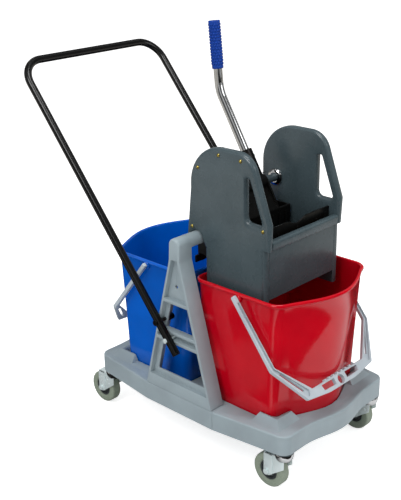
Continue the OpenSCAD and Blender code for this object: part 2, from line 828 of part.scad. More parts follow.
// Hand hole: upright behind, parallel to the slanting front edge
hand_low = 66;
hand_high = 160;
hand_back = 139;
hand_edge = 21;
function front_edge(z) = cheek_front - (z - nose_z) * tan(brow_end);
hand_path = [[hand_back, hand_low, 2 * hand_r], [front_edge(hand_low) - hand_edge, hand_low, hand_r],
             [front_edge(hand_high) - hand_edge, hand_high, hand_r * 0.7],
             [hand_back, hand_high, hand_r * 0.7]];

// Cover screws: two along the crown, then at the brow, the saddle and the nose
screw_in = 15;
crown_screw_angles = [149, 94];
brow_screw = [11, 17];
saddle_screw = [6, 9];
nose_screw = [15, 14];
cover_screw_points = concat(
  [for (a = crown_screw_angles) crown_c + (crown_r - screw_in) * [cos(a), sin(a)]],
  [[brow_x + brow_screw.x, cheek_top - brow_screw.y],
   [saddle_screw.x - cheek_back, saddle_r + saddle_screw.y],
   nose - nose_screw]);
screw_d = 4;
screw_head = 8;
screw_len = 16;
// Body of a bush, and how far it reaches into its cheek
bush_body_d = 28;
bush_reach = 6;

module in_wringer() { translate([0, -wringer_shift, knob_z]) children(); }

// Side view of a cheek moved in by g, with its saddle
module cheek_shape(g) {
  difference() {
    polygon(cheek_outline(g));
    circle(r = saddle_r + g);
  }
}

// A cheek: inner plate, wall all round and the tunnel of the hand hole
module cheek() {
  color(slate) difference() {
    translate([0, -cheek_in, 0]) upright_drawing() linear_extrude(cheek_d - cheek_wall) difference() {
      cheek_shape(0);
      polygon(rounded(hand_path));
    }
    translate([0, -cheek_in - cheek_wall, 0]) upright_drawing() linear_extrude(cheek_d) difference() {
      cheek_shape(cheek_wall);
      polygon(rounded(shrunk(hand_path, -cheek_wall)));
      for (p = cover_screw_points) translate(p) circle(d = screw_head);
    }
    translate([shaft_x, 0, shaft_z])
      rod_y(bush_body_d + 2 * run_gap, -wringer_half, -cheek_in + eps);
    for (p = cover_screw_points) translate([p.x, 0, p.y])
      rod_y(screw_d + 2 * run_gap, -wringer_half - eps, -wringer_half + screw_len);
  }
}

module cover() {
  color(slate) difference() {
    translate([0, -wringer_half + cheek_wall, 0]) upright_drawing() linear_extrude(cheek_wall)
      difference() {
        cheek_shape(0);
        polygon(rounded(hand_path));
      }
    for (p = cover_screw_points) translate([p.x, 0, p.y])
      rod_y(screw_d + 2 * run_gap, -wringer_half - eps, -cheek_in);
  }
}

module cover_screws() {
  head = 2;
  color(brass) for (p = cover_screw_points) translate([p.x, 0, p.y]) {
    rod_y(screw_d, -wringer_half, -wringer_half + screw_len - 1);
    rod_y(screw_head, -wringer_half - head, -wringer_half);
  }
}

module bush() {
  color(chrome) translate([shaft_x, 0, shaft_z]) difference() {
    union() {
      rod_y(bush_d, -cheek_in, -cheek_in + bush_t);
      rod_y(bush_body_d, -cheek_in - bush_reach, -cheek_in);
    }
    rod_y(shaft_d + 2 * run_gap, -wringer_half, 0);
  }
}

module near_cheek() { in_wringer() cheek(); }
module far_cheek() { in_wringer() far_side(true) cheek(); }
module near_cover() { in_wringer() cover(); }
module far_cover() { in_wringer() far_side(true) cover(); }
module near_cover_screws() { in_wringer() cover_screws(); }
module far_cover_screws() { in_wringer() far_side(true) cover_screws(); }
module near_bush() { in_wringer() bush(); }
module far_bush() { in_wringer() far_side(true) bush(); }

// Spring that swings the press back, wound round the near bush inside its cheek
spring_wire = 3;
spring_turns = 2.5;
spring_pitch = 3.2;
spring_r = bush_body_d / 2 + 4;
coil_rings = 8;
wire_sides = 6;

function coil_ring(turn) =
  let (a = 360 * turn, out = [cos(a), 0, sin(a)])
  [for (i = [0:wire_sides - 1]) let (b = 360 * i / wire_sides)
    spring_r * out + [0, -spring_pitch * turn, 0] + spring_wire / 2 * (cos(b) * out + sin(b) * [0, 1, 0])];

module return_spring() {
  seat = cheek_in + cheek_wall + spring_wire / 2 + seat_gap;
  color(zinc) in_wringer() translate([shaft_x, -seat, shaft_z])
    skin([for (i = [0:spring_turns * coil_rings]) coil_ring(i / coil_rings)]);
}

// Depth of the front rail, which ends short of the strainer
rail_d = cheek_front - chin - strainer_x - strainer_t - strainer_gap;

// Front rail with the lower panel under it, between the cheeks
module front_panel() {
  panel_t = 4;
  section = [[cheek_front - chin - rail_d, step_z, 2], [low_front - panel_t, step_z, 0],
             [low_front - panel_t, -panel_drop, 0], [low_front, -panel_drop, 1],
             [low_front, step_z, 0], [cheek_front - chin, step_z, 2],
             [cheek_front - 1, step_z + rail_h, 5], [cheek_front - chin - rail_d, step_z + rail_h, 3]];
  color(slate) in_wringer() translate([0, cheek_in, 0]) upright_drawing() slab(section, 2 * cheek_in);
}

// Black strainer: front plate with a dip in its top edge and ribs, and a drained floor behind it
module strainer() {
  top = 51;
  notch = 10;
  notch_half = 36;
  notch_steps = 16;
  rib_y = 65;
  rib_t = 3;
  rib_low = 17;
  floor_back = low_rear + 6;
  slot = 9;
  slot_step = [24, 20];
  slot_in = 18;
  edge = [for (i = [0:notch_steps]) let (y = lerp(notch_half, -notch_half, i / notch_steps))
    [y, top - notch * (1 + cos(180 * y / notch_half)) / 2]];
  color(black) in_wringer() {
    translate([strainer_x, 0, 0]) rotate([90, 0, 90]) linear_extrude(strainer_t)
      polygon(concat([[-cheek_in, top], [-cheek_in, -panel_drop], [cheek_in, -panel_drop], [cheek_in, top]],
                     edge));
    for (y = [-rib_y, 0, rib_y]) translate([strainer_x + strainer_t - eps, y - rib_t / 2, -panel_drop])
      cube([strainer_gap + eps - slide_gap, rib_t, panel_drop + top - rib_low]);
    difference() {
      translate([floor_back, -cheek_in, -panel_drop])
        cube([strainer_x - floor_back + eps, 2 * cheek_in, strainer_t]);
      for (i = [-4:4], x = [floor_back + slot_in:slot_step.x:strainer_x - slot_in])
        translate([x, i * slot_step.y - slot / 2, -panel_drop - eps])
          cube([slot, slot, strainer_t + 2 * eps]);
    }
  }
}

// Press, drawn about the shaft axis

hub_r = shaft_d / 2 + 8;
shaft_over = 4;
press_top = 52;
lever_start = shaft_d / 2 + 4;
lever_bolt_at = 62;
socket_wall = 5.5;

module in_press() { translate([shaft_x, -wringer_shift, knob_z + shaft_z]) children(); }

module press_shaft() {
  end = cheek_in + bush_reach + shaft_over;
  color(slate) in_press() rod_y(shaft_d, -end, end);
}

// Rings that keep the shaft in its bushes, inside the cheeks
module shaft_clips() {
  ring = 4;
  ring_t = 2;
  end = cheek_in + bush_reach + slide_gap;
  color(zinc) in_press() for (s = [false, true]) far_side(s) difference() {
    rod_y(shaft_d + 2 * ring, -end - ring_t, -end);
    rod_y(shaft_d + 2 * run_gap, -end - ring_t - eps, -end + eps);
  }
}

// Rear edge of an arm: its lower and upper end above the press's bottom
tail_low = 7;
tail_high = 42;
// How far the front wall's foot stands back
front_lean = 2;
press_side = [[hub_r * 0.8, hub_r * 0.6, 4], [-hub_r * 0.8, hub_r * 0.6, 4],
              [-press_back, -press_drop + tail_high, 6], [-press_back, -press_drop + tail_low, 4],
              [press_front - front_lean, -press_drop, 6], [press_front, -press_top, 14]];

// Side view of the ends, which leave the shaft and the rear plate bare
end_back = 40;
press_end = [[0, -press_top, 6], [-end_back, -press_drop + tail_high, 6],
             [-end_back, -press_drop + tail_low, 4], [press_front - front_lean, -press_drop, 6],
             [press_front, -press_top, 14]];
// Half width over the two arms that hold the shaft
arm_half = lever_y + lever_d / 2 + socket_wall;

module press_strip(pts, half) {
  translate([0, half, 0]) upright_drawing() slab(pts, 2 * half);
}

module press_rib(pts, y, t) {
  translate([0, y + t, 0]) upright_drawing() slab(pts, t);
}

module press_plate() {
  rib_t = 5;
  pad = 3;
  pads = 9;
  pad_w = 6;
  pad_step = 2 * press_half / (pads + 0.6);
  pad_low = 8;
  pad_short = 20;
  wall_drop = press_drop - 2;
  tail_bar = 16;
  tail_in = 10;
  color(black) in_press() difference() {
    union() {
      for (y = [-arm_half, arm_half - rib_t]) press_rib(press_side, y, rib_t);
      for (y = [-press_half, press_half - rib_t]) press_rib(press_end, y, rib_t);
      // front wall, with raised upright pads that squeeze the mop
      press_strip([[press_front - press_wall, -press_top, 0],
                   [press_front - front_lean - press_wall, -wall_drop, 0],
                   [press_front - front_lean, -wall_drop, 2], [press_front, -press_top, 2]], press_half);
      // slanting web from that wall up to the shaft, between the arms
      press_strip([[press_front - press_wall, -press_top - press_wall, 0], [press_front, -press_top, 2],
                   [hub_r * 0.7, -hub_r * 0.3, 0], [hub_r * 0.3, -hub_r * 0.7, 0]], arm_half);
      // rear plate behind the arms, with a full-width bar along its lower edge
      press_strip([[-press_back, -tail_drop, 0], [press_wall - press_back, -tail_drop, 0],
                   [press_wall - press_back, tail_high - press_drop - press_wall, 0],
                   [-press_back, tail_high - press_drop - press_wall, 0]], press_half - tail_in);
      press_strip([[-press_back, -tail_drop, 0], [press_wall - press_back, -tail_drop, 0],
                   [press_wall - press_back, tail_bar - tail_drop, 0],
                   [-press_back, tail_bar - tail_drop, 0]], press_half);
      for (i = [0:pads - 1])
        translate([press_front - 2 * pad, (i - (pads - 1) / 2) * pad_step - pad_w / 2, pad_low - press_drop])
          cube([2 * pad + 1, pad_w, press_drop - press_top - pad_short]);
      rod_y(2 * hub_r, -arm_half, arm_half);
      translate([0, lever_y, 0]) rotate([0, -lever_lean, 0])
        cylinder(d = lever_d + 2 * socket_wall, h = socket_len);
    }
    rod_y(shaft_d + 2 * run_gap, -cheek_in, cheek_in);
    translate([0, lever_y, 0]) rotate([0, -lever_lean, 0]) translate([0, 0, lever_start])
      cylinder(d = lever_d + 2 * run_gap, h = socket_len);
    lever_bolt_place() rod_y(bolt_d + 2 * run_gap, -lever_d, lever_d);
  }
}

module in_lever() { in_press() translate([0, lever_y, 0]) rotate([0, -lever_lean, 0]) children(); }

module lever_bolt_place() {
  translate([0, lever_y, 0]) rotate([0, -lever_lean, 0]) translate([0, 0, lever_bolt_at]) children();
}

bend_turn = lever_lean - lever_top_lean;
bend_leg = lever_bend * tan(bend_turn / 2);
// The tube's wall is a little thicker where it was bent
bend_swell = 0.1;

module at_lever_top() { translate([0, 0, lever_low]) rotate([0, bend_turn, 0]) children(); }

// Straight, one bend, straight
module lever_tube() {
  color(chrome) difference() {
    in_lever() {
      tube_z(lever_d, lever_wall, lever_start + 1, lever_low - bend_leg + eps);
      translate([lever_bend, 0, lever_low - bend_leg]) rotate([90, 0, 0]) rotate(180 - bend_turn)
        rotate_extrude(angle = bend_turn)
          tube_section(lever_d + bend_swell, lever_wall + bend_swell, lever_bend);
      at_lever_top() tube_z(lever_d, lever_wall, bend_leg - eps, lever_up);
    }
    in_press() lever_bolt_place() rod_y(bolt_d + 2 * run_gap, -lever_d, lever_d);
  }
}

// Rubber grip, closed at the top, with a flared lower edge
module lever_grip() {
  cap = 5;
  flare = 1.5;
  r = grip_d / 2;
  bore = lever_d / 2 + run_gap;
  top = lever_up + cap;
  z0 = top - grip_len;
  color(grip_blue) in_lever() at_lever_top() rotate_extrude()
    polygon(concat([[bore, z0], [r + flare, z0], [r + flare, z0 + 4], [r, z0 + 6]],
      arc([r - 6, top - 6], 6, 0, 90), [[0, top], [0, lever_up + run_gap], [bore, lever_up + run_gap]]));
}

module lever_bolt() {
  out = lever_d / 2 + socket_wall;
  head = 4;
  color(zinc) in_press() lever_bolt_place() {
    rod_y(bolt_d, -out - head, out + head);
    rod_y(1.8 * bolt_d, -out - head, -out);
    rod_y(1.8 * bolt_d, out, out + head, $fn = 6);
  }
}

front_tray();
rear_tray();
tray_bolts();
near_upright();
far_upright();
upright_screws();
push_handle();
handle_plugs();
handle_studs();
handle_bolts();
caster_at(1, -1) caster_mount();  // near_front_mount
caster_at(-1, -1) caster_mount();  // near_rear_mount
caster_at(1, 1) caster_mount();  // far_front_mount
caster_at(-1, 1) caster_mount();  // far_rear_mount
caster_at(1, -1) yoke();  // near_front_yoke
caster_at(-1, -1) yoke();  // near_rear_yoke
caster_at(1, 1) yoke();  // far_front_yoke
caster_at(-1, 1) yoke();  // far_rear_yoke
caster_at(1, -1) axle();  // near_front_axle
caster_at(-1, -1) axle();  // near_rear_axle
caster_at(1, 1) axle();  // far_front_axle
caster_at(-1, 1) axle();  // far_rear_axle
caster_at(1, -1) hub();  // near_front_hub
caster_at(-1, -1) hub();  // near_rear_hub
caster_at(1, 1) hub();  // far_front_hub
caster_at(-1, 1) hub();  // far_rear_hub
caster_at(1, -1) tyre();  // near_front_tyre
caster_at(-1, -1) tyre();  // near_rear_tyre
caster_at(1, 1) tyre();  // far_front_tyre
caster_at(-1, 1) tyre();  // far_rear_tyre
red_bucket();
red_bail();
blue_bucket();
blue_bail();
near_cheek();
far_cheek();
near_cover();
far_cover();
near_cover_screws();
far_cover_screws();
front_panel();
strainer();
near_bush();
far_bush();
return_spring();
press_shaft();
shaft_clips();
press_plate();
lever_tube();
lever_grip();
lever_bolt();
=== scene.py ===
# %% [markdown]
# # A double mop bucket trolley
# A cleaner's trolley: a moulded tray on four casters, two buckets, two A-shaped uprights, a bent push
# handle and a lever wringer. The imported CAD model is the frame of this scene: it says where every piece
# is and what it moves with. Blender adds the finish, the rounded edges and the small forms.

# %% Load the frame
import json
import math

import bmesh
import bpy
from mathutils import Matrix, Vector


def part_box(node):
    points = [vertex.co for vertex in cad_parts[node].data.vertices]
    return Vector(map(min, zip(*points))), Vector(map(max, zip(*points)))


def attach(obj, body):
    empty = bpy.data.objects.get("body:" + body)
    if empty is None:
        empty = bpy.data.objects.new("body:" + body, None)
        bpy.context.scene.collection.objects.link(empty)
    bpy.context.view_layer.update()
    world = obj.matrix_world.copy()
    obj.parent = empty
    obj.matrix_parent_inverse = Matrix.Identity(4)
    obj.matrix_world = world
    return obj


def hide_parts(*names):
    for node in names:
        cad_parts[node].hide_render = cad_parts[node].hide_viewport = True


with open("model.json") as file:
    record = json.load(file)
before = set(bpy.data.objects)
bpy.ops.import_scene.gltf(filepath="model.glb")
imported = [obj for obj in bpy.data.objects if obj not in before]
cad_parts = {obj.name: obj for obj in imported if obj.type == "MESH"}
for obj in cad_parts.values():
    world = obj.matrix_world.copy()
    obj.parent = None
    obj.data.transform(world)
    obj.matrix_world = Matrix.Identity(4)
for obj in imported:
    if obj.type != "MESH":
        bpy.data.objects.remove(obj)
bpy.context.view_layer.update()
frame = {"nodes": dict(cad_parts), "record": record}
nodes = frame["nodes"]
MM = 0.001


def add_object(name, data):
    """A new object in the scene that shows the data."""
    item = bpy.data.objects.new(name, data)
    bpy.context.scene.collection.objects.link(item)
    return item


# %% [markdown]
# ## Camera
# The photograph was taken from above and to the front right with a moderate lens. The place, the turn
# and the lens were worked out together with the trolley's sizes from points that can be told apart in
# the picture, so the camera is set straight from those numbers instead of being aimed by eye.

# %% Camera
CAMERA_PLACE = Vector((1.3333, -1.4938, 1.2204))
CAMERA_RIGHT = Vector((0.72240, 0.69122, -0.01851))
CAMERA_UP = Vector((-0.23922, 0.27494, 0.93123))
CAMERA_BACK = Vector((0.64877, -0.66829, 0.36397))
FOCAL_PIXELS = 943.68
PHOTO_HEIGHT = 500
SENSOR_HEIGHT = 24.0

camera_data = bpy.data.cameras.new("camera")
camera_data.sensor_fit = "VERTICAL"
camera_data.sensor_height = SENSOR_HEIGHT
camera_data.lens = FOCAL_PIXELS * SENSOR_HEIGHT / PHOTO_HEIGHT
camera = add_object("camera", camera_data)
turn = Matrix((CAMERA_RIGHT, CAMERA_UP, CAMERA_BACK)).transposed()
camera.matrix_world = Matrix.Translation(CAMERA_PLACE) @ turn.to_4x4()
bpy.context.scene.camera = camera
bpy.context.scene.view_settings.view_transform = "Standard"
print("lens:", round(camera_data.lens, 2), "mm")

# %% [markdown]
# ## Helpers for materials
# Colours are written as the sRGB hex values that a picture editor shows, and one function turns them
# into the linear values that a shader needs. A second one adds a node with its settings and links, so
# that each material below reads as a list of what it is made of.

# %% Helpers for materials
def linear(hex_colour):
    """sRGB hex to the linear RGBA of a shader socket."""
    channels = [int(hex_colour[i:i + 2], 16) / 255 for i in (1, 3, 5)]
    return [c / 12.92 if c <= 0.04045 else ((c + 0.055) / 1.055) ** 2.4 for c in channels] + [1.0]


def add_node(tree, kind, links=None, **settings):
    """Adds a node; settings name its properties or its inputs, links map an input to a socket."""
    node = tree.nodes.new(kind)
    for name, value in settings.items():
        if hasattr(node, name):
            setattr(node, name, value)
        else:
            node.inputs[name.replace("_", " ")].default_value = value
    for name, socket in (links or {}).items():
        tree.links.new(socket, node.inputs[name])
    return node


def new_material(name, hex_colour, roughness, metallic=0.0, ior=None):
    """A material with one Principled shader; its constants sit on the shader's own sockets."""
    material = bpy.data.materials.new(name)
    material.use_nodes = True
    shader = material.node_tree.nodes["Principled BSDF"]
    shader.inputs["Base Color"].default_value = linear(hex_colour)
    shader.inputs["Roughness"].default_value = roughness
    shader.inputs["Metallic"].default_value = metallic
    if ior:
        shader.inputs["IOR"].default_value = ior
    return material, material.node_tree, shader


def grain(tree, size_mm, detail=2.0):
    """Noise whose spots are about size_mm across."""
    place = add_node(tree, "ShaderNodeTexCoord")
    return add_node(tree, "ShaderNodeTexNoise", {"Vector": place.outputs["Object"]},
                    Scale=1 / (size_mm * MM), Detail=detail)


def drift(tree, noise, low, high):
    """Maps a noise to the range from low to high."""
    return add_node(tree, "ShaderNodeMapRange", {"Value": noise.outputs["Fac"]},
                    From_Min=0.3, From_Max=0.7, To_Min=low, To_Max=high)


def tint(tree, shader, noise, hex_dark, hex_light):
    """Lets the base colour wander between two close colours."""
    ramp = add_node(tree, "ShaderNodeValToRGB", {"Fac": noise.outputs["Fac"]})
    ramp.color_ramp.elements[0].position = 0.35
    ramp.color_ramp.elements[0].color = linear(hex_dark)
    ramp.color_ramp.elements[1].position = 0.65
    ramp.color_ramp.elements[1].color = linear(hex_light)
    tree.links.new(ramp.outputs["Color"], shader.inputs["Base Color"])


def relief(tree, shader, noise, depth_mm, strength):
    """A fine moulded or worn relief, as bump."""
    bump = add_node(tree, "ShaderNodeBump", {"Height": noise.outputs["Fac"]},
                    Strength=strength, Distance=depth_mm * MM)
    tree.links.new(bump.outputs["Normal"], shader.inputs["Normal"])


# %% [markdown]
# ## Finishes
# Most of the trolley is injection-moulded polypropylene. The two buckets have a polished mould and so a
# gloss, the tray and uprights a satin one with a fine spark-eroded grain, and the wringer is a darker
# satin grey.

# %% Moulded plastics
PP_IOR = 1.49


def moulded_plastic(name, hex_dark, hex_light, roughness, grain_mm, strength, ior=PP_IOR):
    """Polypropylene: a slow drift of colour, and a mould grain drawn coarse enough to show."""
    material, tree, shader = new_material(name, hex_light, roughness, ior=ior)
    tint(tree, shader, grain(tree, 60.0), hex_dark, hex_light)
    fine = grain(tree, grain_mm)
    relief(tree, shader, fine, 0.1, strength)
    gloss = drift(tree, grain(tree, 25.0), roughness * 0.9, roughness * 1.15)
    tree.links.new(gloss.outputs["Result"], shader.inputs["Roughness"])
    return material


tray_grey = moulded_plastic("tray_polypropylene", "#8C999F", "#93A1A7", 0.42, 0.9, 0.12)
bail_grey = moulded_plastic("bail_polypropylene", "#A8B2B9", "#B2BCC3", 0.32, 0.9, 0.06)
slate_grey = moulded_plastic("wringer_polypropylene", "#3D4A4F", "#435055", 0.27, 0.9, 0.06)
bucket_red = moulded_plastic("red_polypropylene", "#B80117", "#C00319", 0.12, 4.0, 0.015)
bucket_blue = moulded_plastic("blue_polypropylene", "#0058BC", "#005CC4", 0.14, 4.0, 0.015)
press_black = moulded_plastic("press_polypropylene", "#070605", "#0C0B09", 0.30, 0.9, 0.08, ior=1.33)
hub_dark = moulded_plastic("hub_polypropylene", "#33383A", "#3B4042", 0.45, 0.9, 0.08)

# %% [markdown]
# The metals are a black powder-coated tube, a chromed lever and zinc-plated caster yokes. The tyres and the
# sleeve of the lever are thermoplastic rubber.

# %% Metals and rubber
def plated_metal(name, hex_dark, hex_light, roughness, spangle_mm, metallic=1.0):
    """Plated steel: the crystals of the plating change its gloss and colour a little."""
    material, tree, shader = new_material(name, hex_light, roughness, metallic=metallic)
    spangle = grain(tree, spangle_mm, 3.0)
    tint(tree, shader, spangle, hex_dark, hex_light)
    gloss = drift(tree, spangle, roughness * 0.7, roughness * 1.4)
    tree.links.new(gloss.outputs["Result"], shader.inputs["Roughness"])
    return material


def coated_steel(name, hex_dark, hex_light, roughness):
    """Powder coat: black, with the soft orange-peel relief of the melted powder."""
    material, tree, shader = new_material(name, hex_light, roughness, ior=1.4)
    tint(tree, shader, grain(tree, 30.0), hex_dark, hex_light)
    relief(tree, shader, grain(tree, 1.5), 0.05, 0.08)
    return material


def soft_rubber(name, hex_dark, hex_light, roughness, speck_mm, ior=1.5):
    """Thermoplastic rubber: dull, with specks of dust in its skin."""
    material, tree, shader = new_material(name, hex_light, roughness, ior=ior)
    speck = grain(tree, speck_mm, 4.0)
    tint(tree, shader, speck, hex_dark, hex_light)
    relief(tree, shader, speck, 0.1, 0.2)
    return material


chrome = plated_metal("chromed_steel", "#C6C8C9", "#D2D4D5", 0.10, 12.0)
zinc = plated_metal("zinc_plated_steel", "#DCE9EA", "#E2EEEF", 0.22, 20.0, metallic=0.35)
dark_steel = plated_metal("oiled_steel", "#39454A", "#414D52", 0.35, 5.0, metallic=0.2)
brass = plated_metal("brass_screw", "#B7A04C", "#D0BC66", 0.28, 3.0)
tube_black = coated_steel("powder_coated_steel", "#070707", "#0B0B0B", 0.22)
tyre_grey = soft_rubber("tyre_rubber", "#7F8A7B", "#8A9585", 0.50, 3.0)
grip_blue = soft_rubber("grip_rubber", "#023288", "#043A94", 0.50, 3.0, ior=1.3)

FINISHES = {
    "grey_plastic": tray_grey, "light_grey_plastic": bail_grey, "slate_plastic": slate_grey,
    "red_plastic": bucket_red, "blue_plastic": bucket_blue, "black_paint": tube_black,
    "black_plastic": press_black, "chrome": chrome, "zinc": zinc, "dark_steel": dark_steel,
    "dark_plastic": hub_dark, "grey_rubber": tyre_grey, "brass": brass, "blue_rubber": grip_blue,
}
slot_of = {part["node"]: part["material_slot"] for part in frame["record"]["subparts"]}
for name, node in nodes.items():
    node.data.materials.clear()
    node.data.materials.append(FINISHES[slot_of[name]])
print("finishes:", len(FINISHES))

# %% [markdown]
# ## Helpers for pieces
# Sizes below are in millimetres in the frame of the CAD model. `new_piece` turns a mesh into an object
# with a smooth skin and sharp creases, gives it the finish of a CAD node and lets it ride and stand for
# that node. `loft` skins rings of equally many points, and `inset` moves a closed outline in or out.

# %% Helpers for pieces
body_of = {name: body for body, group in frame["record"]["behaviour"]["bodies"].items() for name in group}
made = []
SAME_POINT = 0.001


def to_mesh(name, bm):
    """A mesh from a bmesh that isn't needed any more, with its normals outwards."""
    bmesh.ops.recalc_face_normals(bm, faces=bm.faces)
    mesh = bpy.data.meshes.new(name)
    bm.to_mesh(mesh)
    bm.free()
    return mesh


def new_piece(name, bm, *stands_for, crease=35, finish=None):
    """A finished piece that stands for CAD nodes, and takes its body and finish from the first."""
    first = stands_for[0]
    finish = finish or slot_of[first]
    bmesh.ops.remove_doubles(bm, verts=bm.verts, dist=SAME_POINT * MM)
    mesh = to_mesh(name, bm)
    mesh.shade_smooth()
    mesh.set_sharp_from_angle(angle=math.radians(crease))
    mesh.materials.append(FINISHES[finish])
    piece = add_object(name, mesh)
    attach(piece, body_of[first])
    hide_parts(*stands_for)
    made.append(piece)
    return piece


def loft(bm, rings, caps=(True, True)):
    """Quads between rings of (x, y, z) points in millimetres, with a face over each end if asked."""
    rows = [[bm.verts.new(Vector(point) * MM) for point in ring] for ring in rings]
    for low, high in zip(rows, rows[1:]):
        for i in range(len(low)):
            bm.faces.new((low[i - 1], low[i], high[i], high[i - 1]))
    if caps[0]:
        bm.faces.new(rows[0][::-1])
    if caps[1]:
        bm.faces.new(rows[-1])
    return rows


def inset(points, gap):
    """A closed anticlockwise outline of (x, y), moved in by gap."""
    moved = []
    for i, here in enumerate(points):
        ahead = points[(i + 1) % len(points)]
        come = (here - points[i - 1]).normalized()
        leave = (ahead - here).normalized()
        left = Vector((-come.y, come.x)) + Vector((-leave.y, leave.x))
        moved.append(here + left * gap / (1 + come.dot(leave)))
    return moved


def arc(centre, radius, start, end, steps):
    """Points of an arc, angles in degrees."""
    turns = [math.radians(start + (end - start) * i / steps) for i in range(steps + 1)]
    return [Vector(centre) + radius * Vector((math.cos(a), math.sin(a))) for a in turns]


def rounded(corners, steps=6):
    """A closed outline from corners (x, y, radius)."""
    outline = []
    for i, (x, y, radius) in enumerate(corners):
        here = Vector((x, y))
        back = (Vector(corners[i - 1][:2]) - here).normalized()
        on = (Vector(corners[(i + 1) % len(corners)][:2]) - here).normalized()
        if radius <= 0:
            outline.append(here)
            continue
        half = math.acos(max(-1.0, min(1.0, back.dot(on)))) / 2
        centre = here + (back + on).normalized() * radius / math.sin(half)
        start = here + back * radius / math.tan(half) - centre
        end = here + on * radius / math.tan(half) - centre
        turn = math.atan2(start.x * end.y - start.y * end.x, start.dot(end))
        begin = math.degrees(math.atan2(start.y, start.x))
        outline += arc(centre, radius, begin, begin + math.degrees(turn), steps)
    return outline


def quarter(radius, steps=5):
    """(inset, depth) pairs of a rounded edge, from the face to the side."""
    angles = [math.pi / 2 * i / steps for i in range(steps + 1)]
    return [(radius * (1 - math.sin(a)), radius * (1 - math.cos(a))) for a in angles]


# %% [markdown]
# `dress` keeps the form of a CAD node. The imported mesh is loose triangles, so a copy is joined up again
# and its flat faces are merged. Then its edges can be broken with a real bevel, as a mould or a press
# tool leaves them, and weighted normals keep the flat faces flat.

# %% Dressed CAD nodes
WELD = 0.002
FLAT_ANGLE = 0.4


def weld(bm):
    """Joins loose triangles, and merges those that make one flat face."""
    bmesh.ops.remove_doubles(bm, verts=bm.verts, dist=WELD * MM)
    bmesh.ops.dissolve_limit(bm, angle_limit=math.radians(FLAT_ANGLE), verts=bm.verts, edges=bm.edges)


def joined_copy(name):
    """A CAD node as one closed mesh."""
    bm = bmesh.new()
    bm.from_mesh(nodes[name].data)
    weld(bm)
    return bm


def break_edges(bm, edge_mm, least):
    """Bevels the edges that turn by more than least degrees, as a mould leaves them."""
    sharp = [edge for edge in bm.edges
             if len(edge.link_faces) == 2 and edge.calc_face_angle(0.0) > math.radians(least)]
    bmesh.ops.bevel(bm, geom=sharp, offset=edge_mm * MM, segments=2, profile=0.5,
                    affect="EDGES", clamp_overlap=False)


def dress(name, edge_mm, crease=30):
    """A copy of a CAD node with joined faces, broken edges and a smooth skin."""
    bm = joined_copy(name)
    if edge_mm:
        break_edges(bm, edge_mm, crease)
    piece = new_piece(name + "_skin", bm, name, crease=crease)
    piece.modifiers.new("weights", "WEIGHTED_NORMAL").keep_sharp = True


# %% [markdown]
# ## Wringer casing
# Each side of the wringer is a hollow moulding of a cheek and a cover, but from outside it reads as one
# thick plate with generous round edges, a saddle over the knob and a long hand hole. One piece stands
# for both: the side view is drawn once, and rings of it, moved in along a quarter circle, make the edge.
# The lower end of the hand hole is dished for the fingers, so its rounding is spread wider there.

# %% Wringer casing
def low_mm(name, axis):
    """Low side of a CAD node's box, in millimetres."""
    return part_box(name)[0][axis] / MM


def high_mm(name, axis):
    """High side of a CAD node's box, in millimetres."""
    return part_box(name)[1][axis] / MM


CHEEK_TOP = 211.0
CHEEK_BACK = 16.0
CHEEK_FRONT = 203.0
NOSE = Vector((203.0, 72.0))
BROW = Vector((118.0, 161.0))
BROW_R = 50.0
CROWN_R = 90.0
CROWN = Vector((CROWN_R - CHEEK_BACK, CHEEK_TOP - CROWN_R))
SADDLE_R = 15.8
LEG_DROP = 128.0
LEG_BACK, LEG_FRONT = 26.0, 191.0
RAIL_LOW, RAIL_FRONT = 14.0, 200.0
FLUSH_X, FLUSH_Z, FLUSH_EDGE = 150.0, 42.0, 0.12
HAND = {"low": 66.0, "high": 160.0, "back": 139.0, "edge": 21.0}
DISH_H = 26.0
HAND_ROUND, DISH_ROUND = 0.7, 1.5
CASE_EDGES = (8.0, 6.0)
knob_z = high_mm("near_cheek", 2) - CHEEK_TOP

to_nose = NOSE - BROW
brow_end = math.degrees(math.atan2(to_nose.y, to_nose.x) + math.acos(BROW_R / to_nose.length))
cheek_view = (
    rounded([(LEG_BACK, -LEG_DROP, 0), (LEG_FRONT, -LEG_DROP, 0),
             (LEG_FRONT, RAIL_LOW, 0), (RAIL_FRONT, RAIL_LOW, 0)])
    + [NOSE] + arc(BROW, BROW_R, brow_end, 90, 12)
    + arc(CROWN, CROWN_R, 90, 180, 24)
    + arc((0, 0), SADDLE_R, 180, 0, 14) + [Vector((LEG_BACK, -SADDLE_R))])


def front_edge(z):
    """Slanting front edge of a cheek at the height z."""
    return CHEEK_FRONT - (z - NOSE.y) * math.tan(math.radians(brow_end))


hand_view = rounded([
    (HAND["back"], HAND["low"], 14), (front_edge(HAND["low"]) - HAND["edge"], HAND["low"], 7),
    (front_edge(HAND["high"]) - HAND["edge"], HAND["high"], 4.9), (HAND["back"], HAND["high"], 4.9)])


def cap(bm, loops):
    """Flat face between an outline and its holes."""
    edges = [bm.edges.get((loop[i - 1], loop[i])) for loop in loops for i in range(len(loop))]
    bmesh.ops.triangle_fill(bm, use_beauty=True, edges=edges)


def flush(point):
    """Keeps the inner edge sharp where the front panel and its rail lie flush with the cheek."""
    return FLUSH_EDGE if point.y < FLUSH_Z and point.x > FLUSH_X else 1.0


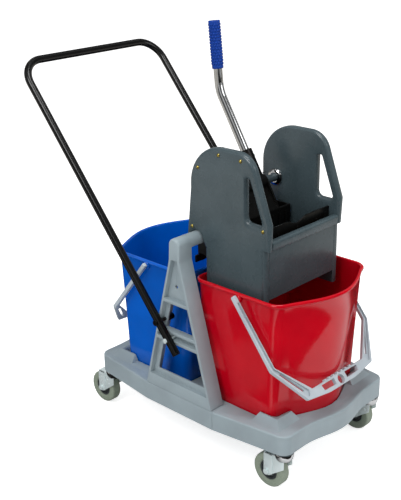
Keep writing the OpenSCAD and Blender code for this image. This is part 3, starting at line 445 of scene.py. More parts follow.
def thick_plate(view, hole, dish, faces, edges):
    """Plate in X and Z with round edges: faces and edges are the y and the radius of the two sides."""
    bm = bmesh.new()
    (y0, y1), (r0, r1) = faces, edges
    way = 1 if y1 > y0 else -1
    steps = [(gap, y0 + way * deep, False) for gap, deep in quarter(r0)]
    steps += [(gap, y1 - way * deep, True) for gap, deep in reversed(quarter(r1))]
    spread = inset(hole, -1.0)
    outside, inside = [], []
    for gap, y, inner in steps:
        moved = zip(view, inset(view, gap))
        points = [p + (q - p) * (flush(p) if inner else 1.0) for p, q in moved]
        outside.append([(p.x, y, p.y + knob_z) for p in points])
        points = [p + (q - p) * gap * dish(p.y) for p, q in zip(hole, spread)]
        inside.append([(p.x, y, p.y + knob_z) for p in points])
    walls = [loft(bm, rings, caps=(False, False)) for rings in (outside, inside)]
    for end in (0, -1):
        cap(bm, [rows[end] for rows in walls])
    return bm


def finger_dish(z):
    """How much wider the hand hole is rounded at its lower end."""
    share = max(0.0, min(1.0, (HAND["low"] + DISH_H - z) / DISH_H))
    return HAND_ROUND + DISH_ROUND * share * share


for side in ("near", "far"):
    inner = high_mm("near_cheek", 1) if side == "near" else low_mm("far_cheek", 1)
    outer = low_mm("near_cover", 1) if side == "near" else high_mm("far_cover", 1)
    plate = thick_plate(cheek_view, hand_view, finger_dish, (outer, inner), CASE_EDGES)
    new_piece(side + "_casing", plate, side + "_cheek", side + "_cover", crease=40)
print("casing corners:", len(cheek_view), "hand hole corners:", len(hand_view))

# %% [markdown]
# The cover screws are domed brass-plated heads with a cross recess. A Geometry Nodes tree makes one head
# from a flattened ball with two bars taken out of it, and sets a copy on every point it is given.

# %% Cover screws
SCREW = {"Diameter": 8 * MM, "Height": 2.6 * MM, "Slot": 1.1 * MM}


def drop(item):
    """Removes a helper object with its mesh."""
    mesh = item.data
    bpy.data.objects.remove(item)
    bpy.data.meshes.remove(mesh)


def result_of(item):
    """What the modifiers of a helper object make of it, as a plain mesh."""
    depsgraph = bpy.context.evaluated_depsgraph_get()
    mesh = bpy.data.meshes.new_from_object(item.evaluated_get(depsgraph))
    drop(item)
    return mesh


def bake(name, points, tree, sizes):
    """Runs a Geometry Nodes tree on points (mm) and returns its result as a plain mesh."""
    seed = bpy.data.meshes.new(name + "_seed")
    seed.from_pydata([Vector(point) * MM for point in points], [], [])
    holder = add_object(name + "_seed", seed)
    modifier = holder.modifiers.new("repeat", "NODES")
    modifier.node_group = tree
    for item in tree.interface.items_tree:
        if item.in_out == "INPUT" and item.name in sizes:
            modifier[item.identifier] = sizes[item.name]
    return result_of(holder)


def new_tree(name, sizes):
    """An empty Geometry Nodes tree with named float inputs."""
    tree = bpy.data.node_groups.new(name, "GeometryNodeTree")
    tree.interface.new_socket("Geometry", in_out="INPUT", socket_type="NodeSocketGeometry")
    for label in sizes:
        tree.interface.new_socket(label, in_out="INPUT", socket_type="NodeSocketFloat")
    tree.interface.new_socket("Geometry", in_out="OUTPUT", socket_type="NodeSocketGeometry")
    return tree, tree.nodes.new("NodeGroupInput"), tree.nodes.new("NodeGroupOutput")


def calc(tree, operation, first, second=0.0):
    """A Math node on sockets or numbers."""
    node = add_node(tree, "ShaderNodeMath", operation=operation)
    for socket, value in zip(node.inputs, (first, second)):
        if isinstance(value, (int, float)):
            socket.default_value = value
        else:
            tree.links.new(value, socket)
    return node.outputs[0]


def set_copies(tree, result, finish, links):
    """Sets copies on points, makes them real and gives them their finish."""
    copies = add_node(tree, "GeometryNodeInstanceOnPoints", links)
    real = add_node(tree, "GeometryNodeRealizeInstances", {0: copies.outputs[0]})
    coat = add_node(tree, "GeometryNodeSetMaterial", {0: real.outputs[0]}, Material=finish)
    tree.links.new(coat.outputs[0], result.inputs[0])


def screw_tree(finish):
    """Domed heads with a cross recess; the dome stands towards -Y."""
    tree, given, result = new_tree("screw_heads", SCREW)
    wide, high, slot = (given.outputs[label] for label in SCREW)
    ball = add_node(tree, "GeometryNodeMeshUVSphere", Segments=24, Rings=12, Radius=0.5)
    size = add_node(tree, "ShaderNodeCombineXYZ",
                    {"X": wide, "Y": calc(tree, "MULTIPLY", high, 2.0), "Z": wide})
    dome = add_node(tree, "GeometryNodeTransform",
                    {"Geometry": ball.outputs["Mesh"], "Scale": size.outputs["Vector"]})
    bars = add_node(tree, "GeometryNodeJoinGeometry")
    for x, z in ((high, slot), (slot, high)):
        bar_size = add_node(tree, "ShaderNodeCombineXYZ", {"X": x, "Y": high, "Z": z})
        bar = add_node(tree, "GeometryNodeMeshCube", {"Size": bar_size.outputs["Vector"]})
        tree.links.new(bar.outputs["Mesh"], bars.inputs[0])
    lift = add_node(tree, "ShaderNodeCombineXYZ", {"Y": calc(tree, "MULTIPLY", high, -1.0)})
    cross = add_node(tree, "GeometryNodeTransform",
                     {"Geometry": bars.outputs[0], "Translation": lift.outputs["Vector"]})
    cut = add_node(tree, "GeometryNodeMeshBoolean", {0: dome.outputs[0], 1: cross.outputs[0]},
                   operation="DIFFERENCE")
    set_copies(tree, result, finish,
               {"Points": given.outputs["Geometry"], "Instance": cut.outputs["Mesh"]})
    return tree


def from_mesh(mesh, turn=None):
    """A bmesh from a mesh that isn't needed any more."""
    bm = bmesh.new()
    bm.from_mesh(mesh)
    bpy.data.meshes.remove(mesh)
    if turn is not None:
        bm.transform(turn)
    return bm


screw_spots = [arc(CROWN, CROWN_R - 15, angle, angle, 1)[0] for angle in (149, 94)]
screw_spots += [BROW + Vector((11, BROW_R - 17)), Vector((6 - CHEEK_BACK, SADDLE_R + 9)),
                NOSE - Vector((15, 14))]
heads = screw_tree(brass)
for side, face in (("near", low_mm("near_cover", 1)), ("far", -high_mm("far_cover", 1))):
    spots = [(p.x, face, p.y + knob_z) for p in screw_spots]
    mesh = bake(side + "_screws", spots, heads, SCREW)
    turn = None if side == "near" else Matrix.Scale(-1, 4, (0, 1, 0))
    new_piece(side + "_screws", from_mesh(mesh, turn), side + "_cover_screws")
print("screw heads:", len(screw_spots), "a side")

# %% [markdown]
# ## Buckets
# A bucket is an injection-moulded shell with a bowed outer end between two ears and a rolled rim.
# The outline at a height comes from few sizes, with finer steps than the CAD and softer corners that widen
# towards the rim. The shell is one loft: up the outside, round the bead of the rim, and down the inside. A
# round boss carries the bail pin.

# %% Buckets
BUCKET_H = 291.0
BUCKET_WALL = 3.0
RIM_OUT = 5.0
RIM_R = 4.5
FOOT_R = 9.0
REAR_LOW, REAR_TOP, REAR_R = 27.0, 13.0, 20.0
BUCKET_HALF = 151.0
SIDE_DRAFT = 5.0
EAR_LOW, EAR_TOP = 225.5, 240.0
EAR_LOW_R, EAR_TOP_R = 18.0, 32.0
BOW_LOW, BOW_TOP = 273.0, 295.0
PROW_LOW, PROW_TOP = 1.58, 1.2
BAIL_X = 139.0
BAIL_DROP = 13.0
BOSS_R = 9.0
BOSS_IN, BOSS_OUT = 148.0, 158.0


def between(low, high, share):
    """The value at a share of the way from low to high."""
    return low + (high - low) * share


def bucket_ring(z, grow, way, floor_z):
    """Outline of a bucket at the height z, grown outwards; way is 1 for the red end, -1 for the blue."""
    share = z / BUCKET_H
    rear = between(REAR_LOW, REAR_TOP, share) - grow
    ear = between(EAR_LOW, EAR_TOP, share) + grow
    half = BUCKET_HALF - SIDE_DRAFT * (1 - share) + grow
    corner = between(EAR_LOW_R, EAR_TOP_R, share)
    bulge = between(BOW_LOW - EAR_LOW, BOW_TOP - EAR_TOP, share)
    bow_half = half - grow - EAR_LOW_R / 2 * (1 - share)
    power = between(PROW_LOW, PROW_TOP, share)
    bow = [(ear + bulge * math.cos(math.pi / 2 * i / 20) ** power, bow_half * i / 20, 0)
           for i in range(-16, 17)]
    near = [(rear, -half, REAR_R + grow), (ear, -half, corner + grow)]
    outline = rounded(near + bow + [(x, -y, radius) for x, y, radius in near[::-1]], steps=8)
    return [(way * p.x, way * p.y, z + floor_z) for p in outline]


def bucket_profile():
    """(height, growth) up the outside, over the rolled rim and down the inside."""
    rim_z = BUCKET_H - RIM_R
    bead = RIM_OUT - RIM_R
    lip = bead + BUCKET_WALL
    rows = [(FOOT_R * (1 - math.cos(a)), FOOT_R * (math.sin(a) - 1)) for a in
            [math.pi / 2 * i / 5 for i in range(6)]]
    rows += [(between(FOOT_R, BUCKET_H - 2 * RIM_R - 2, i / 6), 0.0) for i in range(1, 7)]
    rows += [(rim_z + RIM_R * math.sin(a), bead + RIM_R * math.cos(a)) for a in
             [math.radians(-80 + 170 * i / 10) for i in range(11)]]
    rows += [(BUCKET_H - lip + lip * math.sin(a), bead + lip * math.cos(a)) for a in
             [math.radians(90 + 90 * i / 5) for i in range(1, 6)]]
    rows += [(between(BUCKET_H - 12, FOOT_R + BUCKET_WALL, i / 6), -BUCKET_WALL) for i in range(7)]
    rows += [(BUCKET_WALL + FOOT_R * (1 - math.sin(a)), -BUCKET_WALL - FOOT_R * (1 - math.cos(a))) for a in
             [math.pi / 2 * i / 4 for i in range(1, 5)]]
    return rows


def circle(count):
    """Angles all the way round."""
    return [math.tau * i / count for i in range(count)]


def round_boss(bm, x, z, side):
    """A turned boss along Y with a rounded outer edge; side is -1 or 1."""
    rows = [(BOSS_R, BOSS_IN)] + [(BOSS_R - gap, BOSS_OUT - deep) for gap, deep in reversed(quarter(1.5, 3))]
    loft(bm, [[(x + r * math.cos(a), side * y, z + r * math.sin(a)) for a in circle(32)] for r, y in rows])


for colour, way in (("red", 1), ("blue", -1)):
    name = colour + "_bucket"
    floor_z = low_mm(name, 2)
    bm = bmesh.new()
    loft(bm, [bucket_ring(z, grow, way, floor_z) for z, grow in bucket_profile()])
    for s in (-1, 1):
        round_boss(bm, way * BAIL_X, floor_z + BUCKET_H - BAIL_DROP, s)
    new_piece(colour + "_shell", bm, name, crease=50)
print("bucket rings:", len(bucket_profile()))

# %% [markdown]
# ## Lever grip
# The grip is a soft sleeve with a flared lower edge and rows of small pads that keep a wet hand from
# slipping. The sleeve is turned from a profile; the pads are one flattened ball, set in staggered rows by
# Geometry Nodes, so that their number and size stay easy to change.

# %% Lever grip
def turned(bm, profile, place, sides=48):
    """Turns (radius, height) points about Z, in millimetres, and puts the result in place."""
    start = len(bm.verts)
    loft(bm, [[(r * math.cos(a), r * math.sin(a), height) for a in circle(sides)] for r, height in profile])
    bm.verts.ensure_lookup_table()
    bmesh.ops.transform(bm, matrix=place, verts=bm.verts[start:])


def middle(name):
    """Middle of a CAD node's box, in metres."""
    low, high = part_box(name)
    return (Vector(low) + Vector(high)) / 2


LEVER_LEAN = 30.9
LEVER_TOP_LEAN = 5.5
LEVER_LOW = 224.0
LEVER_UP = 148.0
GRIP_LEN = 104.0
GRIP_R = 12.4
GRIP_BORE = 10.1
GRIP_CAP = 5.0
LEVER_Y = 50.0
PAD_ROWS = 14
PADS = {"Around": 12.0, "Rise": 6.5 * MM, "Radius": GRIP_R * MM, "Pad": 2.9 * MM}
PAD_SHAPE = (0.55, 0.9, 1.0)
PAD_START = 11.0
shaft_at = middle("press_shaft")
lever_foot = Matrix.Translation(shaft_at + Vector((0, LEVER_Y * MM, 0)))
lever_top = (lever_foot @ Matrix.Rotation(math.radians(-LEVER_LEAN), 4, "Y")
             @ Matrix.Translation((0, 0, LEVER_LOW * MM))
             @ Matrix.Rotation(math.radians(LEVER_LEAN - LEVER_TOP_LEAN), 4, "Y"))


def pad_tree(finish):
    """Staggered rows of flattened balls round an axis."""
    tree, given, result = new_tree("grip_pads", PADS)
    around, rise, radius, pad = (given.outputs[label] for label in PADS)
    index = add_node(tree, "GeometryNodeInputIndex").outputs[0]
    row = calc(tree, "FLOOR", calc(tree, "DIVIDE", index, around))
    stagger = calc(tree, "MULTIPLY", calc(tree, "MODULO", row, 2.0), 0.5)
    step = calc(tree, "ADD", calc(tree, "MODULO", index, around), stagger)
    angle = calc(tree, "MULTIPLY", calc(tree, "DIVIDE", step, around), math.tau)
    place = add_node(tree, "ShaderNodeCombineXYZ", {
        "X": calc(tree, "MULTIPLY", calc(tree, "COSINE", angle), radius),
        "Y": calc(tree, "MULTIPLY", calc(tree, "SINE", angle), radius),
        "Z": calc(tree, "MULTIPLY", row, rise)})
    spread = add_node(tree, "GeometryNodeSetPosition",
                      {"Geometry": given.outputs["Geometry"], "Position": place.outputs["Vector"]})
    ball = add_node(tree, "GeometryNodeMeshUVSphere", {"Radius": pad}, Segments=12, Rings=8)
    flat_ball = add_node(tree, "GeometryNodeTransform", {"Geometry": ball.outputs["Mesh"]}, Scale=PAD_SHAPE)
    way = add_node(tree, "ShaderNodeCombineXYZ", {"Z": angle})
    set_copies(tree, result, finish, {"Points": spread.outputs[0], "Instance": flat_ball.outputs[0],
                                      "Rotation": way.outputs["Vector"]})
    return tree


pad_count = PAD_ROWS * int(PADS["Around"])
pads = bake("grip_pads", [(0, 0, 0)] * pad_count, pad_tree(grip_blue), PADS)
grip_high = LEVER_UP + GRIP_CAP
grip_low = grip_high - GRIP_LEN
grip = from_mesh(pads, lever_top @ Matrix.Translation((0, 0, (grip_low + PAD_START) * MM)))
turned(grip, [(GRIP_BORE, grip_low), (GRIP_R - 0.4, grip_low), (GRIP_R + 0.4, grip_low + 0.8),
              (GRIP_R + 0.4, grip_low + 5.0), (GRIP_R, grip_low + 8.0), (GRIP_R, grip_high - 9.0),
              (GRIP_R + 0.6, grip_high - 5.0), (GRIP_R + 0.6, grip_high - 0.6), (GRIP_R, grip_high),
              (0.5, grip_high)], lever_top)
new_piece("grip_sleeve", grip, "lever_grip", crease=45)
print("grip pads:", pad_count)

# %% [markdown]
# ## Bushes of the press shaft
# The shaft turns in two chromed bushes whose domed flanges sit on the cheeks. They are turned parts.

# %% Bushes
SHAFT_HOLE_R = 9.05
SEAT_R = 14.0
SEAT_DEPTH = 6.0
FLANGE_R = 20.0
FLANGE_EDGE = 1.0
DOME_W, DOME_H = 9.0, 6.5
BUSH_TOP = 7.0
bush = [(SHAFT_HOLE_R, -SEAT_DEPTH), (SEAT_R, -SEAT_DEPTH), (SEAT_R, 0.0), (FLANGE_R, 0.0),
        (FLANGE_R, FLANGE_EDGE)]
bush += [(FLANGE_R - DOME_W * (1 - math.cos(a)), FLANGE_EDGE + DOME_H * math.sin(a)) for a in
         [math.pi / 2 * i / 8 for i in range(1, 9)]]
bush += [(SHAFT_HOLE_R, BUSH_TOP), bush[0]]
for side, face, way in (("near", high_mm("near_cheek", 1), 1), ("far", low_mm("far_cheek", 1), -1)):
    bm = bmesh.new()
    place = (Matrix.Translation((shaft_at.x, face * MM, shaft_at.z))
             @ Matrix.Rotation(math.radians(-90 * way), 4, "X"))
    turned(bm, bush, place)
    new_piece(side + "_flange", bm, side + "_bush", crease=40)
print("bush section:", len(bush), "points")

# %% [markdown]
# ## Casters
# A wheel is a dark moulded hub in a grey non-marking rubber tyre with flat sides and a round-edged tread.
# Both are turned from profiles about the axle.

# %% Wheels
corners = ("near_front", "near_rear", "far_front", "far_rear")
WHEEL_R = 40.0
TREAD = 25.0
TREAD_EDGE = 4.5
HUB_R = 23.0
HUB_IN = 2.0
AXLE_HOLE_R = 4.05


def both_sides(profile):
    """A closed section from its upper half, as (radius, height)."""
    lower = [(radius, -height) for radius, height in profile]
    return lower + profile[::-1] + lower[:1]


top = TREAD / 2
face = top - HUB_IN
tyre = [(HUB_R, face), (HUB_R + 1.5, top - 0.8), (HUB_R + 3.0, top), (WHEEL_R - 8.0, top)]
tyre += [(WHEEL_R - gap, top - deep) for gap, deep in quarter(TREAD_EDGE, 6)]
hub = [(AXLE_HOLE_R, face), (8.0, face), (8.6, face - 0.6), (9.2, face - 3.6), (18.2, face - 3.6),
       (19.0, face - 0.6), (HUB_R - 0.8, face), (HUB_R - 0.1, face - 0.8)]
for corner in corners:
    place = Matrix.Translation(middle(corner + "_tyre")) @ Matrix.Rotation(math.radians(90), 4, "X")
    for look, node, profile, sides in (("_tread", "_tyre", tyre, 72), ("_rim", "_hub", hub, 64)):
        bm = bmesh.new()
        turned(bm, both_sides(profile), place, sides)
        new_piece(corner + look, bm, corner + node, crease=40)
print("wheels:", len(corners))

# %% [markdown]
# ## Uprights
# An upright is a thin-walled moulding: a rim round the front, recessed webs, windows between them and a
# hollow back. The CAD leaves its bars full behind the webs; the look comes from the thin walls, so this
# piece is carved like the mould: one thick plate with a round front edge, and prisms taken out of it from
# the front, from the back and right through. The head swells into the knob that carries the wringer.

# %% Uprights
FOOT_HALF = 102.0
KNOB_R = 15.5
NECK = 324.0
HEAD = 360.0
RIM = 6.0
BAR = 18.0
PANEL_TOP = 327.0
WINDOWS = ((42, 127), (157, 223))
RECESSES = ((29, 127), (135, 149), (157, 223), (231, PANEL_TOP))
FRAME_T = 40.0
FRONT_EDGE = 1.6
HEAD_SWELL, SWELL_H = 2.2, 30.0
RECESS_DEPTH = 12.0
WEB = 4.0
WALL = 4.5
HOLLOW_LOW = 5.0
STUD_HOLE = (-6, 261)
STUD_HOLE_R = 4.0
PAST = 5.0
SHARP = 50
slant = math.atan((FOOT_HALF - KNOB_R) / NECK)
upright_view = rounded([(-FOOT_HALF, 0, 2), (FOOT_HALF, 0, 2), (KNOB_R, NECK, 40),
                        (KNOB_R, HEAD + KNOB_R, 14.9), (-KNOB_R, HEAD + KNOB_R, 14.9),
                        (-KNOB_R, NECK, 40)], steps=12)


def zone(gap, low, high, radius=1.5):
    """Part of the front view, moved in by gap, between two heights."""
    def half(z):
        return FOOT_HALF + (KNOB_R - FOOT_HALF) * z / NECK - gap / math.cos(slant)
    return rounded([(-half(low), low, radius), (half(low), low, radius),
                    (half(high), high, radius), (-half(high), high, radius)], steps=3)


def prism(view, y0, y1, base_z):
    """A drawing in X and Z, made thick from y0 to y1."""
    bm = bmesh.new()
    loft(bm, [[(p.x, y, p.y + base_z) for p in view] for y in (y1, y0)])
    return bm


def carve(bm, cutters):
    """Takes the cutters out of a solid."""
    helpers = [add_object("carve", to_mesh("carve", item)) for item in [bm] + cutters]
    for helper in helpers[1:]:
        cut = helpers[0].modifiers.new("cut", "BOOLEAN")
        cut.operation = "DIFFERENCE"
        cut.solver = "EXACT"
        cut.object = helper
    mesh = result_of(helpers[0])
    for helper in helpers[1:]:
        drop(helper)
    return from_mesh(mesh)


def upright(front, back, base_z):
    """The near upright: front and back are its y faces."""
    bm = bmesh.new()
    moved = inset(upright_view, 1.0)
    rows = []
    for gap, deep in quarter(FRONT_EDGE, 5):
        row = []
        for p, q in zip(upright_view, moved):
            swell = 1 + HEAD_SWELL * max(0.0, min(1.0, (p.y - NECK) / SWELL_H))
            at = p + (q - p) * gap * swell
            row.append((at.x, front + deep * swell, at.y + base_z))
        rows.append(row)
    rows.append([(p.x, back, p.y + base_z) for p in upright_view])
    loft(bm, rows)
    start, end = front - PAST, back + PAST
    web = front + RECESS_DEPTH
    cutters = [prism(zone(RIM, low, high), start, web, base_z) for low, high in RECESSES]
    cutters += [prism(zone(BAR, low, high, 2.5), start, end, base_z) for low, high in WINDOWS]
    cutters.append(prism(zone(WALL, HOLLOW_LOW, PANEL_TOP), web + WEB, end, base_z))
    cutters.append(prism(arc(STUD_HOLE, STUD_HOLE_R, 0, 345, 23), start, end, base_z))
    body = carve(bm, cutters)
    weld(body)
    break_edges(body, 0.7, SHARP)
    return body


def knob(bm, y0, y1, z):
    """Round bar with a rounded end at y1, behind the head."""
    rows = [(KNOB_R, y0)] + [(KNOB_R - g, y1 - d) for g, d in reversed(quarter(3.0, 5))]
    loft(bm, [[(r * math.cos(a), y, z + r * math.sin(a)) for a in circle(48)] for r, y in rows])


ledge_z = low_mm("near_upright", 2)
for side in ("near", "far"):
    low, high = low_mm("near_upright", 1), high_mm("near_upright", 1)
    bm = upright(low, low + FRAME_T, ledge_z)
    knob(bm, low + FRAME_T - 2, high, ledge_z + HEAD)
    if side == "far":
        bm.transform(Matrix.Scale(-1, 4, (0, 1, 0)))
    new_piece(side + "_frame", bm, side + "_upright", crease=40)
print("upright outline:", len(upright_view), "points")

# %% [markdown]
# ## Tray
# The two trays keep the CAD's form, but the top edge of a moulding like this is clearly round. A ring
# whose inner side is a quarter circle runs along the outline and is taken off both, and the seam between
# them is opened by less than a millimetre so that it shows as the fine line it is.

# %% Tray
EDGE_R = 4.0
TRAY_X, TRAY_Y, TRAY_R = 292.0, 179.0, 24.0
WAIST_X, WAIST_Y, WAIST_R = 104.0, 203.0, 6.0
END_BOW, END_HALF = 19.0, 112.0
SEAM = 0.8


def tray_outline():
    """Two bowed ends, joined by straight sides at the foot of the uprights."""
    outline = []
    for s in (1, -1):
        outline.append((s * TRAY_X, -s * TRAY_Y, TRAY_R))
        for i in range(-6, 7):
            bow = END_BOW * (1 + math.cos(math.pi * i / 6)) / 2
            outline.append((s * (TRAY_X + bow), s * END_HALF * i / 6, 0))
        outline += [(s * TRAY_X, s * TRAY_Y, TRAY_R), (s * WAIST_X, s * WAIST_Y, WAIST_R),
                    (-s * WAIST_X, s * WAIST_Y, WAIST_R)]
    return rounded(outline, steps=6)


def edge_ring(top_z):
    """What a round edge takes away from a square one."""
    view = tray_outline()
    rows = [(gap, top_z - deep) for gap, deep in quarter(EDGE_R, 6)]
    rows += [(-6.0, top_z - EDGE_R), (-6.0, top_z + 2.0), (EDGE_R, top_z + 2.0), rows[0]]
    bm = bmesh.new()
    loft(bm, [[(p.x, p.y, z) for p in inset(view, gap)] for gap, z in rows], caps=(False, False))
    bmesh.ops.remove_doubles(bm, verts=bm.verts, dist=SAME_POINT * MM)
    return bm


for name in ("front_tray", "rear_tray"):
    cutters = [edge_ring(ledge_z)]
    if name == "front_tray":
        seam = [Vector((WAIST_X + x, z)) for x, z in ((-1, 0), (SEAM, 0), (SEAM, 90), (-1, 90))]
        cutters.append(prism(seam, -230, 230, ledge_z - 60))
    new_piece(name + "_shell", carve(joined_copy(name), cutters), name, crease=25)
print("tray outline:", len(tray_outline()), "points")

# %% [markdown]
# ## Front panel
# The rail and the panel below it are one moulding between the cheeks. Its section runs straight across,
# so it is drawn once, with a round front edge on the rail, and made as wide as the gap.

# %% Front panel
RAIL_BACK, RAIL_TOP, RAIL_TIP = 186.0, 34.0, 202.0
PANEL_BACK, PANEL_DROP = 187.0, 98.0
GROOVE = 0.6
panel_view = rounded([
    (RAIL_BACK, RAIL_LOW, 1), (PANEL_BACK, RAIL_LOW, 0), (PANEL_BACK, -PANEL_DROP, 0),
    (LEG_FRONT, -PANEL_DROP, 1), (LEG_FRONT, RAIL_LOW - 2 * GROOVE, 0),
    (LEG_FRONT - GROOVE, RAIL_LOW - GROOVE, 0), (LEG_FRONT, RAIL_LOW, 0), (RAIL_FRONT, RAIL_LOW, 2),
    (RAIL_TIP, RAIL_TOP, 5), (RAIL_BACK, RAIL_TOP, 3)], steps=5)
new_piece("front_wall", prism(panel_view, low_mm("front_panel", 1), high_mm("front_panel", 1), knob_z),
          "front_panel", crease=40)
print("front panel section:", len(panel_view), "points")

# %% [markdown]
# ## Bails
# A bail is a thin moulded frame: a web with a rim along its edges, slots in the shoulders, three windows
# in the grip and a row of finger bumps. It is drawn flat, in the plane of its arms, lofted to its
# thickness and carved; then it is turned to the angle at which it rests on the bowed end of the bucket.

# %% Bails
BAIL_ANGLE = 51.5
BAIL_T = 9.0
BAIL_ARM = 166.0
ARM_IN = 158.5
ARM_W = 10.0
GRIP_HALF = 90.0
GRIP_W = 26.0
PIVOT_R = 4.0
BAIL_RIM = 2.4
WEB_T = 4.5
END = -9.0


def bail_plan(reach):
    """Outline of a bail in its own plane: X along the arms, Y across."""
    inner = reach - GRIP_W
    out = ARM_IN + ARM_W
    half = [(END, ARM_IN, 4), (BAIL_ARM - 4, ARM_IN, 8), (inner, GRIP_HALF, 4)]
    rim = [(END, out, 4), (BAIL_ARM, out + 2, 8), (reach - 9, GRIP_HALF + 24, 8), (reach, GRIP_HALF / 2, 40)]
    mirrored = [(x, -y, r) for x, y, r in rim]
    return rounded(mirrored + rim[::-1] + half + [(x, -y, r) for x, y, r in half[::-1]], steps=6)


def flat(outline, z0, z1):
    """A drawing in X and Y, made thick from z0 to z1."""
    bm = bmesh.new()
    loft(bm, [[(p.x, p.y, z) for p in outline] for z in (z0, z1)])
    return bm


def plate(outline, half_t, edge):
    """A drawing in X and Y, made thick about Z = 0, with rounded edges."""
    bm = bmesh.new()
    rows = [(gap, deep - half_t) for gap, deep in quarter(edge, 3)]
    rows += [(gap, half_t - deep) for gap, deep in reversed(quarter(edge, 3))]
    loft(bm, [[(p.x, p.y, z) for p in inset(outline, gap)] for gap, z in rows])
    return bm


def bail(name, bucket, turn):
    """A bail at rest, with the reach that its CAD node has."""
    place = (Matrix.Rotation(math.radians(turn), 4, "Z")
             @ Matrix.Translation((BAIL_X * MM, 0, (high_mm(bucket, 2) - BAIL_DROP) * MM))
             @ Matrix.Rotation(math.radians(BAIL_ANGLE), 4, "Y"))
    reach = max((place.inverted() @ vert.co).x for vert in nodes[name].data.vertices) / MM
    inner = reach - GRIP_W
    top = BAIL_T / 2
    outline = bail_plan(reach)
    through = (-top - 3, top + 3)
    cutters = []
    for s in (-1, 1):
        # recess of the arm and the shoulder, down to the web
        recess = [(8, ARM_IN + BAIL_RIM, 1), (BAIL_ARM - 3, ARM_IN + BAIL_RIM, 6),
                  (inner - 1, GRIP_HALF + 10, 2), (reach - 11, GRIP_HALF + 17, 4),
                  (BAIL_ARM - 1, ARM_IN + ARM_W - BAIL_RIM + 1.5, 7), (8, ARM_IN + ARM_W - BAIL_RIM, 1)]
        view = rounded([(x, s * y, r) for x, y, r in recess][::s], steps=4)
        cutters.append(flat(view, top - WEB_T, top + 3))
        # window of the grip
        window = [(inner + 4, 19, 1.5), (inner + 4, 63, 1.5), (inner + 17, 60, 1.5), (inner + 18, 19, 1.5)]
        view = rounded([(x, s * y, r) for x, y, r in window][::-s], steps=3)
        cutters.append(flat(view, *through))
        # slot of the shoulder
        slot_a, slot_b = Vector((BAIL_ARM + 12, ARM_IN - 8)), Vector((inner - 4, GRIP_HALF + 22))
        along = (slot_b - slot_a).normalized()
        side = Vector((-along.y, along.x)) * 2.6
        slot = [slot_a - side, slot_b - side, slot_b + side, slot_a + side]
        cutters.append(flat([Vector((p.x, s * p.y)) for p in slot][::s], *through))
    # round hole in the middle of the grip
    cutters.append(flat(arc((inner + 13.5, 0), 10.5, 0, 345, 23), *through))
    bm = carve(plate(outline, top, 1.0), cutters)
    # finger beads along the inner edge of the grip, then the two pins
    for i in range(-3, 4):
        turned(bm, [(0.2, -top + 1), (3.4, -top + 1), (3.4, top - 1), (2.4, top), (0.2, top)],
               Matrix.Translation(((inner - 0.4) * MM, 14.5 * i * MM, 0)), sides=20)
    for s in (-1, 1):
        pin = Matrix.Rotation(math.radians(-90 * s), 4, "X")
        turned(bm, [(0.2, ARM_IN - 15), (PIVOT_R, ARM_IN - 15), (PIVOT_R, ARM_IN + 1)], pin, sides=24)
    bm.transform(place)
    new_piece(name + "_frame", bm, name, crease=35)
    print(name, "reach:", round(reach, 1))


bail("red_bail", "red_bucket", 0)
bail("blue_bail", "blue_bucket", 180)

# %% [markdown]
# ## Caster yokes
# A yoke is pressed from zinc-plated sheet: a leg on each side of the wheel, folded on to a gusset that runs
# in under the crown, with a polished ball race on top. The sheet parts are flat drawings made as thick as
# the sheet; the race is turned. Everything is drawn about the swivel axis, with the wheel trailing at -X.

# %% Yokes
TRAIL = 34.0
LUG_R = 8.5
YOKE_OUT = 17.0
SHEET = 2.5
FOLD_X = -19.0
AXLE_Z = 40.0
CROWN_Z = 84.0
RACE_Z = 96.0
RACE_R = 21.0
BOWL_R, BOWL_H, BOWL_DROP = 13.0, 17.5, 10.5
GUSSET_X = 11.0
GUSSET_LEAN = 0.02
GUSSET_FACES = (1.4, 2.6)


def gusset(bm, side):
    """Sheet from the fold of a leg in towards the race; side is -1 or 1."""
    sheet = [(FOLD_X, AXLE_Z - 1.5), (GUSSET_X, AXLE_Z + 21), (GUSSET_X, CROWN_Z + 1), (FOLD_X, CROWN_Z + 1)]
    loft(bm, [[(x, side * (YOKE_OUT - deep - GUSSET_LEAN * (x - FOLD_X)), z) for x, z in sheet]
              for deep in GUSSET_FACES])


def race_profile():
    """A bowl that hangs below the crown, as (radius, height)."""
    turns = [math.pi / 2 * i / 10 for i in range(11)]
    bowl = [(0.3, CROWN_Z - BOWL_DROP)]
    bowl += [(RACE_R - BOWL_R * (1 - math.sin(a)), CROWN_Z - BOWL_DROP + BOWL_H * (1 - math.cos(a)))
             for a in turns]
    return bowl + [(RACE_R, RACE_Z - 3), (RACE_R - 1.5, RACE_Z - 0.5), (5.0, RACE_Z - 0.5)]


